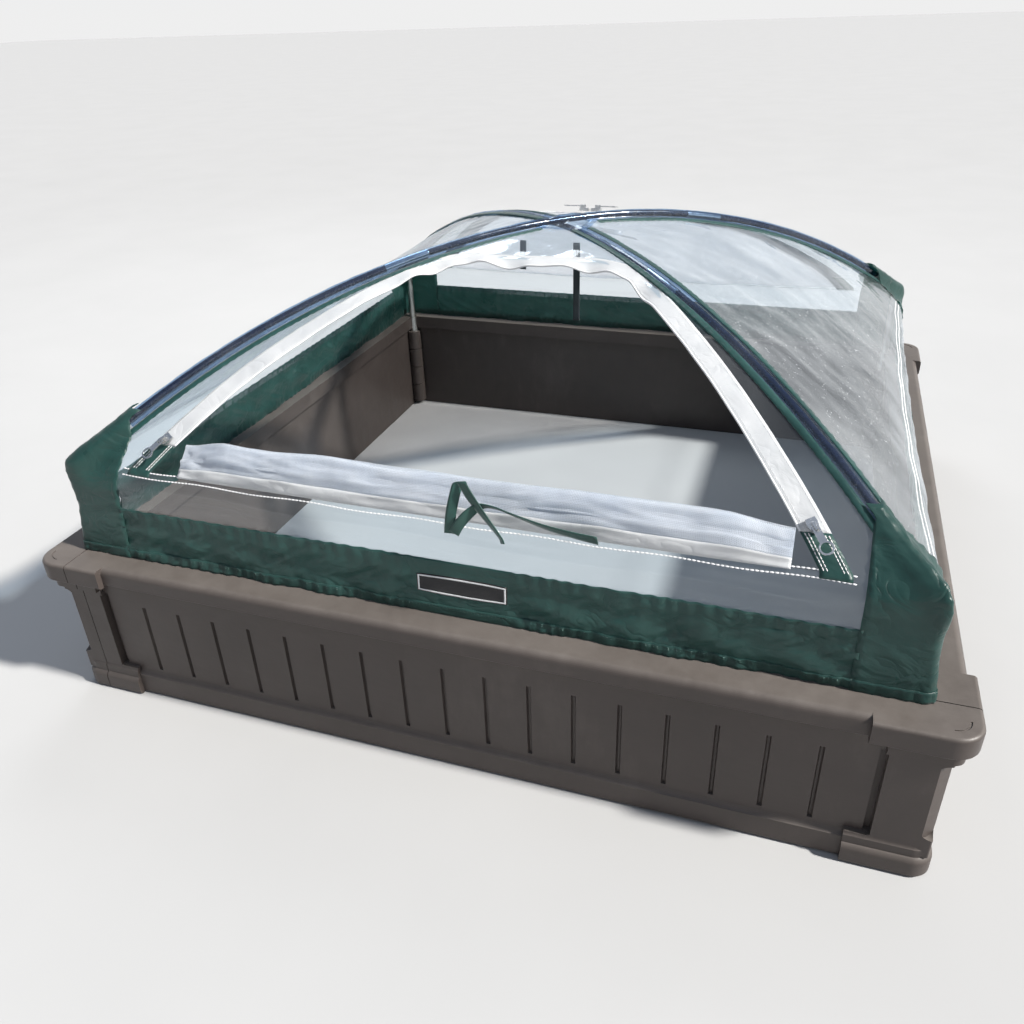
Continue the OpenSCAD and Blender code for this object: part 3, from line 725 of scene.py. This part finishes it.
def side_skirt(turn, off=0.0, top=W_SKIRT - 0.005, low=W_HEM, rows=22):
    wide, along = grid_of(np.linspace(top, low, rows), np.linspace(-GUSSET_X, GUSSET_X, 261))
    return side(turn, along, wide, off + 0.0007 + drape_skirt(along, wide, FRONT_SKIRT + 7 * turn))


CORNER_W = np.concatenate([np.linspace(0.477, EAVE_D, 16), np.linspace(EAVE_D, W_WALL, 11)[1:],
                           np.linspace(W_WALL, W_SKIRT, 6)[1:], np.linspace(W_SKIRT, W_HEM, 18)[1:]])


def corner_cloth(degrees, w, off=0.0):
    """The gusset round one corner of the cover, with a proud run over the elbow and pole."""
    upper = degrees in UPPER_POLE_ENDS
    w = np.asarray(w, float)
    d, z, nd, nz = profile(w)
    inner = np.minimum(WINDOW_HALF, d - 0.014)
    r = np.minimum(0.4 * (d - inner), 0.004 + 0.005 * smooth((w - 0.52) / (W_WALL - 0.52)))
    share = 1 - (1 - np.linspace(0, 1, ARM_COLS)) ** 1.6
    arc = np.radians(np.linspace(0, 90, 11)[1:-1])
    arm = inner[:, None] + (d - r - inner)[:, None] * share
    round_x = (d - r)[:, None] + r[:, None] * np.sin(arc)
    round_y = -(d - r)[:, None] - r[:, None] * np.cos(arc)
    face = np.repeat(d[:, None], ARM_COLS, 1)
    x = np.concatenate([arm, round_x, face], 1)
    y = np.concatenate([-face, round_y, -arm[:, ::-1]], 1)
    turn = np.concatenate([np.zeros(ARM_COLS), arc, np.full(ARM_COLS, math.pi / 2)])
    aside = (x + y) / math.sqrt(2)
    along = np.where(turn[None] < math.pi / 4, x, 2 * d[:, None] + y)
    rise = (0.0150 if upper else 0.0045) * (1 - smooth((w - EAVE_D) / (0.8 * (W_WALL - EAVE_D))))
    proud = rise[:, None] * smooth((0.0215 - np.abs(aside)) / 0.0135)
    wide = np.repeat(w[:, None], x.shape[1], 1)
    seed = GUSSET_SEED + int(degrees)
    edge = np.minimum(np.abs(x) - inner[:, None], np.abs(y) - inner[:, None])
    seam_phase = math.tau * wide / 0.015 + 1.5 * ripple(wide, x * 0, 0.08, seed + 3)
    ridge_phase = math.tau * wide / 0.0125 + ripple(wide, aside, 0.05, seed + 4)
    gather = 0.0011 * np.sin(seam_phase) * np.exp(-np.abs(edge) / 0.010)
    gather = gather + (0.0005 if upper else 0.0010) * np.sin(ridge_phase) \
        * np.exp(-np.abs(aside) / 0.016) * smooth((0.575 - wide) / 0.02)
    ear = (0.004 if upper else 0.012) * smooth((wide - 0.49) / 0.070) \
        * (1 - smooth((wide - 0.562) / 0.030)) * np.exp(-np.abs(aside) / 0.014)
    crisp = 0.45 - np.abs(ripple(along * 0.5 + wide, wide * 0.3, 0.05, seed + 2, 5))
    soft = (0.0009 * ripple(along, wide * 0.6, 0.110, seed) + 0.0006 * crisp) * smooth(edge / 0.02)
    fine = 0.0002 * ripple(along, wide, 0.028, seed + 1)
    hem = 0.0008 * np.sin(math.tau * along / 0.017) * smooth((wide - W_HEM + 0.02) / 0.01)
    h = off + 0.0009 + proud + gather + soft + fine + hem
    plan = np.stack([np.sin(turn), -np.cos(turn)], -1)[None]
    outwards = np.array([1, -1]) / math.sqrt(2)
    plan = np.where((proud > 0.001)[..., None], 0.5 * plan + 0.5 * outwards, plan)
    points = np.stack([x + h * nd[:, None] * plan[..., 0] + 0.35 * ear,
                       y + h * nd[:, None] * plan[..., 1] - 0.35 * ear,
                       z[:, None] + h * nz[:, None] + 0.87 * ear], -1)
    return turned(points, degrees + 45)


def green_piece(name, grids, nodes, thickness=0.0008):
    obj = thicken(sheet_object(name, grids), thickness)
    return finish_piece(obj, "green", "cover", "green_fabric", *nodes)


skirts = {turn: green_piece("skirt_" + name, [side_skirt(turn)], [name + "_skirt"])
          for turn, name in enumerate(SIDES)}
gussets = {name: green_piece("corner_gusset_" + name, [corner_cloth(degrees, CORNER_W)],
                             ["gusset_" + name]) for name, degrees in RIDGES.items()}
hem_w = np.linspace(W_HEM - HEM_H, W_HEM + 0.0009, 6)
hem_grids = [side_skirt(turn, 0.0011, hem_w[0], hem_w[-1], 6) for turn in range(4)]
hem_grids += [corner_cloth(degrees, hem_w, 0.0011) for degrees in RIDGES.values()]
hem = green_piece("skirt_hem", hem_grids, [], 0.0006)

# Two rows above the hem, one under the skirt's top edge and two white ones along the eave
SEAM_END = WINDOW_HALF - 0.001
for turn in range(4):
    for w, proud, stitch in ((W_HEM - 0.0105, 0.0019, HEM_STITCH),
                             (W_HEM - 0.0085, 0.0019, HEM_STITCH),
                             (W_SKIRT - 0.0022, 0.0010, SEAM_STITCH)):
        sew(green_stitches,
            lambda t, o: side(turn, t, w + 0 * t, o + proud + drape_skirt(
                t, max(w, W_SKIRT) + 0 * t, FRONT_SKIRT + 7 * turn)),
            -SEAM_END, SEAM_END, *stitch)
    for w in (0.5375, 0.5448):
        sew(white_stitches,
            lambda t, o: side(turn, t, w + 0.0011 * np.sin(t * 41 + turn), o + 0.0002),
            -0.470, 0.470, *EAVE_STITCH)

# ---- Ridge sleeves and bindings --------------------------------------------------------------

SLEEVE_R = 0.0063


def ridge_sleeve(degrees):
    """A clear pocket round the pole, with flanges that lie on the roof to both sides."""
    drop = 0.0 if degrees in UPPER_POLE_ENDS else HOOP_DROP
    s = np.linspace(0.036, 0.690, 84)[:, None]
    fall = vault_slope(s / math.sqrt(2)) / math.sqrt(2)
    centre = HOOP_TOP - drop - ROOF_TOP
    over = np.radians(np.linspace(-25, 205, 15))
    under = np.radians(np.linspace(205, 335, 9)[1:-1])
    wobble = 1 + 0.05 * ripple(s, 0 * s, 0.05, 140 + int(degrees))
    flange = np.array([0.0125, 0.0085])
    tent = lambda b: -fall * np.abs(b)
    top_b = np.concatenate([np.repeat(flange[None], len(s), 0), SLEEVE_R * wobble * np.cos(over),
                            -np.repeat(flange[None, ::-1], len(s), 0)], 1)
    top_h = np.concatenate([tent(flange) + [0.0, 0.0004], centre + SLEEVE_R * wobble * np.sin(over),
                            tent(flange[::-1]) + [0.0004, 0.0]], 1)
    top_h = np.maximum(top_h, tent(top_b) + 0.0003 * (np.abs(top_b) < 0.012))
    low_b = np.concatenate([-np.repeat(flange[None, 1:], len(s), 0), SLEEVE_R * np.cos(under)
                            * np.ones_like(s), np.repeat(flange[None, 1:], len(s), 0)], 1)
    low_h = np.concatenate([tent(flange[1:]) - 0.0008, centre + SLEEVE_R * np.sin(under)
                            * np.ones_like(s), tent(flange[1:]) - 0.0008], 1)
    low_h = np.minimum(low_h, tent(low_b) - 0.0006)
    b, h = np.concatenate([top_b, low_b], 1), np.concatenate([top_h, low_h], 1)
    slope = s / np.sqrt(HOOP_R ** 2 - s * s)
    n = np.sqrt(1 + slope * slope)
    z = ROOF_TOP - HOOP_R + np.sqrt(HOOP_R ** 2 - s * s)
    points = np.stack([s + h * slope / n, b, z + h / n], -1)
    return Build().grid(turned(points, degrees), metres_uv(points), loop=True)


sleeves = {}
for name, degrees in RIDGES.items():
    sleeves[name] = finish_piece(ridge_sleeve(degrees).object("ridge_sleeve_" + name), "sleeve",
                                 "cover", "clear_vinyl", "sleeve_" + name)


def on_ridge(turn, hand, s, p, off):
    """A point of a side's roof at length s from the centre and p aside from its ridge, in plan."""
    x, d = (s - p) / math.sqrt(2), (s + p) / math.sqrt(2)
    return side(turn, hand * x, d, off)


bindings = {}
for turn, name in enumerate(SIDES):
    build = Build()
    wide = 0.60 if turn in (FRONT, REAR) else 0.80
    for hand in (-1, 1):
        s, p = grid_of(np.linspace(0.050, 0.694, 190), np.linspace(0, 1, 5))
        edge = RIDGE_GAP + BINDING_W * wide * p + 0.0005 * np.sin(s * math.tau / 0.0052) * (p - 0.5)
        puff = 0.0009 * np.sin(math.pi * p) + 0.0005 * np.sin(s * math.tau / 0.012) * p
        build.grid(on_ridge(turn, hand, s, edge, 0.0008 + puff),
                   np.stack([edge, s], -1), flip=hand > 0)
        sew(green_stitches, lambda t, o: on_ridge(turn, hand, t, 0.0116 + 0 * t, o + 0.0013),
            0.054, 0.690, *BINDING_STITCH)
    bindings[turn] = thicken(build.object("ridge_binding_" + name), 0.0008)
    finish_piece(bindings[turn], "binding", "cover", "green_binding", name + "_binding")

# A small clear patch over the crossing of the poles
PATCH_HALF = 0.046
patch_x, patch_y = PATCH_HALF * np.array(grid_of(np.linspace(-1, 1, 25), np.linspace(-1, 1, 25)))
patch_d = np.maximum(np.abs(patch_x), np.abs(patch_y))
poles = 0.0120 * np.exp(-((patch_x - patch_y) / 0.0145) ** 2) * smooth(1.15 - patch_d / PATCH_HALF)
poles = np.maximum(poles, 0.0045 * np.exp(-((patch_x + patch_y) / 0.012) ** 2))
crown = np.stack([patch_x, patch_y, vault_z(patch_d) + 0.0012 + poles
                  + 0.0006 * ripple(patch_x, patch_y, 0.03, 7)], -1)
crown = finish_piece(sheet_object("crown_patch", [crown]), "sleeve", "cover", "clear_vinyl")

# ---- Zipper tapes and doors ------------------------------------------------------------------

# Length along the arch from its foot to the front slider, where the green end meets the tape
T_SLIDER = (SILL_D - SLIDER_D - 0.004) * ARCH_NORM


def tape_point(turn, t, inset, off):
    """A point on the doorway's tape: it hangs in slow waves along the top of the arch."""
    x, d = arch(t, inset)
    up = smooth((np.minimum(t, ARCH_RUN - t) - SIDE_RUN * 0.75) / 0.12)
    share = np.asarray(inset) / TAPE_W
    slack = 1.0 if turn == FRONT else 0.25
    flop = slack * up * (0.0040 * np.sin(t * math.tau / 0.115 + 0.9 + turn)
                         + 0.0022 * np.sin(t * math.tau / 0.061 + turn)) * share
    droop = -0.0035 * up * share if turn == FRONT else 0.0
    return side(turn, x, d, off + flop + droop)


def zip_teeth(name, turn, t0, t1, inset, off):
    t = np.arange(t0, t1, 0.0011)
    path = tape_point(turn, t, np.full_like(t, inset), off)
    radii = np.where(np.arange(len(t)) % 2, 0.0017, 0.0012)
    piece = Build().grid(tube(path, radii, 6), loop=True).object(name)
    return finish_piece(piece, "teeth", "cover", "zip_tape")


tapes, tape_ends = {}, {}
for turn in (FRONT, REAR):
    name = SIDES[turn]
    t, inset = grid_of(np.linspace(T_SLIDER, ARCH_RUN - T_SLIDER, 300), np.linspace(0, TAPE_W, 7))
    build = Build().grid(tape_point(turn, t, inset, 0.0010), np.stack([inset, t], -1), flip=True)
    tapes[turn] = thicken(build.object("zip_tape_" + name), 0.0010)
    finish_piece(tapes[turn], "tape", "cover", "zip_tape", name + "_zip_tape")
    ends = Build()
    for t0, t1 in ((-0.006, T_SLIDER), (ARCH_RUN - T_SLIDER, ARCH_RUN + 0.006)):
        t, inset = grid_of(np.linspace(t0, t1, 14), np.linspace(0, TAPE_W, 7))
        x, d = arch(np.clip(t, 0, ARCH_RUN), inset)
        d = d + np.maximum(-t, 0) + np.maximum(t - ARCH_RUN, 0)
        ends.grid(side(turn, x, d, 0.0010), np.stack([inset, t], -1), flip=True)
        for line in (0.0035, 0.0065, 0.0195, 0.0225):
            sew(white_stitches, lambda s, o: tape_point(turn, s, line + 0 * s, o + 0.0011),
                max(t0, 0.001), min(t1, ARCH_RUN - 0.001), *TAPE_END_STITCH)
    for line in (0.003, 0.021) if turn == FRONT else (0.003, 0.023):
        sew(white_stitches, lambda s, o: tape_point(turn, s, line + 0 * s, o + 0.0011),
            T_SLIDER, ARCH_RUN - T_SLIDER, *TAPE_STITCH)
    tape_ends[turn] = thicken(ends.object("tape_ends_" + name), 0.0010)
    finish_piece(tape_ends[turn], "green", "cover", "green_fabric")

zip_teeth("zip_teeth_front", FRONT, T_SLIDER, ARCH_RUN - T_SLIDER, TAPE_W - 0.0005, 0.0016)
zip_teeth("zip_teeth_rear", REAR, 0.004, ARCH_RUN - 0.004, TAPE_W / 2, 0.0018)

# The closed rear door
DOOR_INSET = 0.014
R_DOOR = ARCH_R - DOOR_INSET
rows, u = grid_of(np.linspace(ARCH_TOP + DOOR_INSET + 0.0005, SILL_D - 0.001, 58),
                  np.linspace(-1, 1, 91))
rounded = ARCH_CX + np.sqrt(np.maximum(R_DOOR ** 2 - (ARCH_CD - rows) ** 2, 0))
straight = ARCH_SLOPE * rows + ARCH_IN - DOOR_INSET * ARCH_NORM
door_half = np.where(rows < ARCH_CD + R_DOOR * math.sin(SIDE_TURN), rounded, straight)
door_x = u * door_half
billow = (-0.0035 * (1 - u * u) + 0.0014 * ripple(door_x, rows, 0.10, 201)) * (1 - u ** 6)
rear_net = side(REAR, door_x, rows, billow - 0.0012)
rear_door = finish_piece(sheet_object("rear_mesh_door", [rear_net]), "net", "cover", "white_mesh",
                         "rear_door")

# The front door, folded down on to the sill in flat pleats, with its last turn lying in front
PLEATS = 7
DOOR_D0, DOOR_D1 = 0.5020, 0.5375


def door_fold(x, k, off=0.0):
    """The folded door at x: k runs 0 to PLEATS through the pleats, then 1 more down the front."""
    x, k = np.broadcast_arrays(np.asarray(x, float), np.asarray(k, float))
    end = smooth(np.minimum(x - DOOR_X[0], DOOR_X[1] - x) / 0.075)
    tied = 1 - 0.28 * np.exp(-((x - 0.030) / 0.035) ** 2)
    full = (0.0168 + 0.0034 * ripple(x, 0 * x, 0.30, 61)) * (0.24 + 0.76 * end) * tied
    pleat, last = np.clip(k, 0, PLEATS), np.clip(k - PLEATS, 0, 1)
    swing = 0.5 - 0.5 * np.cos(math.pi * pleat)
    inner = DOOR_D0 + 0.005 * (1 - end) + 0.0016 * ripple(x, pleat * 0.03, 0.24, 62)
    high = 0.92 * pleat / PLEATS
    under = (1 - high ** 1.25) ** (1 / 2.6)
    outer = inner + (DOOR_D1 - 0.0016 - inner) * under
    d = outer + (inner - outer) * swing
    h = 0.0020 + full * high
    d = np.where(last > 0, inner + (DOOR_D1 + 0.0022 - inner) * last, d)
    h = np.where(last > 0, 0.0022 + full * (1 - last ** 2.6) ** 0.8, h)
    waver = 0.75 * ripple(x, 0 * x, 0.30, 64)
    long_folds = 0.0023 * np.sin(math.tau * (1.9 * last + waver)) \
        + 0.0012 * np.sin(math.tau * (4.3 * last - 1.3 * waver + 0.3 * ripple(x, 0 * x, 0.20, 65)))
    long_folds = long_folds + 0.0016 * ripple(x + 0.8 * last * 0.03, last * 0.05, 0.055, 67, 5)
    crumple = (1 - end) * 0.0013 * ripple(x, last * 0.02, 0.030, 66)
    h = h + (long_folds + crumple) * np.sin(math.pi * last)
    return side(FRONT, x, d, np.maximum(h, 0.0018) + off)


fold_k = np.concatenate([np.linspace(0, PLEATS, 85), PLEATS + np.linspace(0, 1, 17)[1:]])
door_net = door_fold(*grid_of(np.linspace(*DOOR_X, 250), fold_k))
front_door = finish_piece(sheet_object("front_mesh_door", [door_net]), "net", "front_door",
                          "white_mesh", "front_door")
edge_k = PLEATS + np.linspace(0.74, 1, 6)
door_edge = door_fold(*grid_of(np.linspace(*DOOR_X, 220), edge_k), 0.0006)
door_edge = thicken(sheet_object("front_door_hem", [door_edge]), 0.0005, 1.0)
finish_piece(door_edge, "tape", "front_door", "zip_tape")

# ---- Webbing ties and label ------------------------------------------------------------------

def curve_through(points, count):
    """A smooth run through points (Catmull-Rom)."""
    p = np.asarray(points, float)
    p = np.concatenate([[2 * p[0] - p[1]], p, [2 * p[-1] - p[-2]]])
    out = []
    for t in np.linspace(0, len(p) - 3 - 1e-9, count):
        i, f = int(t), t - int(t)
        a, b, c, d = p[i:i + 4]
        out.append(0.5 * (2 * b + (c - a) * f + (2 * a - 5 * b + 4 * c - d) * f ** 2
                          + (3 * b - a - 3 * c + d) * f ** 3))
    return np.array(out)


def strap(build, points, width, sideways, count):
    """A ribbon of webbing along a curve, with its width along sideways."""
    line = curve_through(points, count)
    ways = np.asarray(sideways, float)
    if ways.ndim == 1:
        ways = np.repeat(ways[None], len(line), 0)
    else:
        ways = curve_through(ways, count)
    across = np.linspace(-width / 2, width / 2, 5)
    rows = line[:, None] + unit(ways)[:, None] * across[None, :, None]
    uv = np.stack(np.broadcast_arrays(across[None], lengths(line)[:, None]), -1)
    build.grid(rows, uv)


MM = 0.001
WEBBING_W = 0.0130
# The tie's standing loop and its loose end: points in millimetres, and which way the width lies
TIE_RUNS = (
    ([(15, -560, 350), (16, -559.5, 362), (18, -556, 380), (21, -550, 398), (24, -546.5, 410.5),
      (29, -547.5, 413.5), (33, -550.5, 410), (43, -554.5, 397.5), (62, -559, 376), (79, -563, 357),
      (83, -565, 350)],
     [(1, 0, 0.05), (1, 0, 0), (1, 0.1, 0), (1, 0.15, 0), (1, 0.1, 0.1), (1, -0.1, 0.3),
      (0.9, -0.3, 0.5), (0.75, -0.3, 0.6), (0.6, -0.5, 0.5), (0.5, -0.6, 0.4), (0.5, -0.6, 0.4)]),
    ([(21, -560.5, 351), (28, -561, 364), (40, -558, 379), (52, -551, 387), (68, -548, 386),
      (95, -550, 380), (130, -553, 373), (165, -555, 369), (192, -556, 367)],
     [(1, 0.1, -0.6), (0.8, 0.2, -0.6), (0.6, 0.3, -0.6), (0.4, 0.5, -0.6), (0.2, 0.6, -0.6),
      (0.1, 0.6, -0.6), (0.1, 0.5, -0.7), (0.1, 0.4, -0.8), (0.1, 0.3, -0.9)]))
ties = Build()
for line, ways in TIE_RUNS:
    strap(ties, MM * np.array(line), WEBBING_W, ways, 56)
ties = thicken(ties.object("door_tie_straps"), 0.0013, 0.0)
ties.data.materials.append(M["webbing"])
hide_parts("door_ties", "tie_ends")
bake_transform(ties)

roof_ties = Build()
for x, length, lean in ((-0.041, 0.044, 0.45), (0.042, 0.118, 0.0)):
    top = float(vault_z(np.array(0.088))) - 0.0035
    strap(roof_ties, [(x + lean * 0.25 * f * length, -0.088 - lean * f * length, top - length * f
                       * (1 - 0.3 * lean)) for f in np.linspace(0, 1, 6)], 0.0100,
          (1, 0.12 * math.copysign(1, x), 0), 26)
roof_ties = thicken(roof_ties.object("roof_ties"), 0.0013, 0.0)
finish_piece(roof_ties, "dark_webbing", "cover", "dark_webbing", "roof_tie_straps")


def label_point(u, v, off):
    """On the label: u and v run from -1 to 1 along and up it; its long sides are bowed."""
    x = LABEL_X + u * LABEL_W / 2
    z = LABEL_Z + v * (LABEL_H / 2 - 0.0020 * u * u)
    w = W_SKIRT + (SKIRT_TOP - z) / (SKIRT_TOP - HEM_Z) * SKIRT_LEN
    return side(FRONT, x, w, off + 0.0019 + drape_skirt(x, w, FRONT_SKIRT))


def label_frame(outer, inner, off):
    corners = np.array([(-1, -1), (1, -1), (1, 1), (-1, 1), (-1, -1)], float)
    t = np.linspace(0, 4, 161)
    ring = np.stack([np.interp(t, range(5), corners[:, i]) for i in range(2)], -1)
    shares = np.linspace(outer, inner, 4)[:, None]
    margin_u, margin_v = 1 - shares / (LABEL_W / 2), 1 - shares / (LABEL_H / 2)
    return label_point(ring[:, 0] * margin_u, ring[:, 1] * margin_v, off)


label = label_point(*grid_of(np.linspace(-1, 1, 61), np.linspace(-1, 1, 17)), 0.0)
label = thicken(sheet_object("label", [label]), 0.0008, 1.0)
finish_piece(label, "label", "cover", "label_weave", "label_patch")
border = Build().grid(label_frame(0.0016, 0.0036, 0.0009), flip=True)
border = thicken(border.object("label_border"), 0.0004, 1.0)
finish_piece(border, "label_edge", "cover", "label_weave")

for name, build, material, slot in (("white_stitching", white_stitches, "white_thread", "zip_tape"),
                                    ("green_stitching", green_stitches, "green_thread",
                                     "green_binding")):
    finish_piece(build.object(name), material, "cover", slot)

# ---- Sheets: the bands sewn to each side, and flat cuts --------------------------------------

# The bindings, tapes and sleeves are narrow bands sewn to the windows' edges
sewn_on = {turn: [bindings[turn]] for turn in range(4)}
for turn in (FRONT, REAR):
    sewn_on[turn] += [tapes[turn], tape_ends[turn]]
for name in RIDGES:
    sewn_on[RIGHT if name.endswith("right") else LEFT].append(sleeves[name])
sewn_on[RIGHT].append(crown)
for (turn, part), cut in window_cuts.items():
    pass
skirt_cut = np.meshgrid(np.linspace(-GUSSET_X, GUSSET_X, 5), np.linspace(W_SKIRT - 0.005, W_HEM, 5))
for turn, name in enumerate(SIDES):
    flat_cut(skirt_cut)
gusset_w = CORNER_W[:, None] * np.ones((1, 2))
gusset_half = profile(gusset_w)[0] - np.minimum(WINDOW_HALF, profile(gusset_w)[0] - 0.017)
gusset_cut = flat_cut((gusset_half * np.array([-1.0, 1.0]), gusset_w))
rear_cut = flat_cut((door_x, rows))

# ---- Floor, light and camera -----------------------------------------------------------------

FLOOR_HALF, FLOOR_Z = 40, -0.0006
floor = Build().grid([[(x, y, FLOOR_Z) for y in (-FLOOR_HALF, FLOOR_HALF)]
                      for x in (-FLOOR_HALF, FLOOR_HALF)], flip=True).object("floor")
floor_mat, floor_bsdf = principled("floor", (0.45, 0.45, 0.45), 0.8, Specular_IOR_Level=0.1)
vary(floor_mat, floor_bsdf, noise(floor_mat, coords(floor_mat), 3, 3),
     [(0.3, (0.450, 0.450, 0.450)), (0.7, (0.465, 0.465, 0.465))])
floor.data.materials.append(floor_mat)

world = bpy.data.worlds.new("studio")
bpy.context.scene.world = world
world.use_nodes = True
height = shade(world, "SeparateXYZ")
tones = ramp(world, height.outputs["Z"],
             [(0.0, (0.86, 0.86, 0.86)), (0.06, (0.84, 0.85, 0.86)), (0.45, (0.15, 0.18, 0.24)),
              (1.0, (0.36, 0.41, 0.50))])
wire(world, (shade(world, "TexCoord").outputs["Generated"], height.inputs[0]),
     (tones, world.node_tree.nodes["Background"].inputs["Color"]))


def lamp(name, kind, energy, colour, place, target, size):
    data = bpy.data.lights.new(name, kind)
    data.energy, data.color = energy, colour
    if kind == "SUN":
        data.angle = size
    else:
        data.shape, data.size = "DISK", size
    obj = bpy.data.objects.new(name, data)
    obj.location = place
    obj.rotation_mode = "QUATERNION"
    obj.rotation_quaternion = (Vector(target) - Vector(place)).to_track_quat("-Z", "Y")
    bpy.context.scene.collection.objects.link(obj)


lamp("key", "SUN", 7.0, (1.0, 0.97, 0.92), (2.5, -0.10, 2.5), (0, 0, 0.3), math.radians(4))
lamp("top", "AREA", 22, (0.95, 0.98, 1.0), (-1.0, 1.6, 2.6), (0, 0, 0.4), 1.2)

# The photograph's viewpoint, solved from the bed's corners
camera = bpy.data.objects.new("camera", bpy.data.cameras.new("camera"))
bpy.context.scene.collection.objects.link(camera)
right = Vector((0.94638, 0.32136, -0.03318)).normalized()
back = Vector((0.29524, -0.81858, 0.49270)).normalized()
up = back.cross(right).normalized()
right = up.cross(back)
camera.matrix_world = Matrix.Translation((0.3814, -1.3619, 0.8892)) @ Matrix(
    (right, up, back)).transposed().to_4x4()
camera.data.lens, camera.data.sensor_width = 30.82, 36
camera.data.shift_x, camera.data.shift_y = 0.0019, -0.0118
bpy.context.scene.camera = camera
bpy.context.scene.view_settings.view_transform = "Standard"
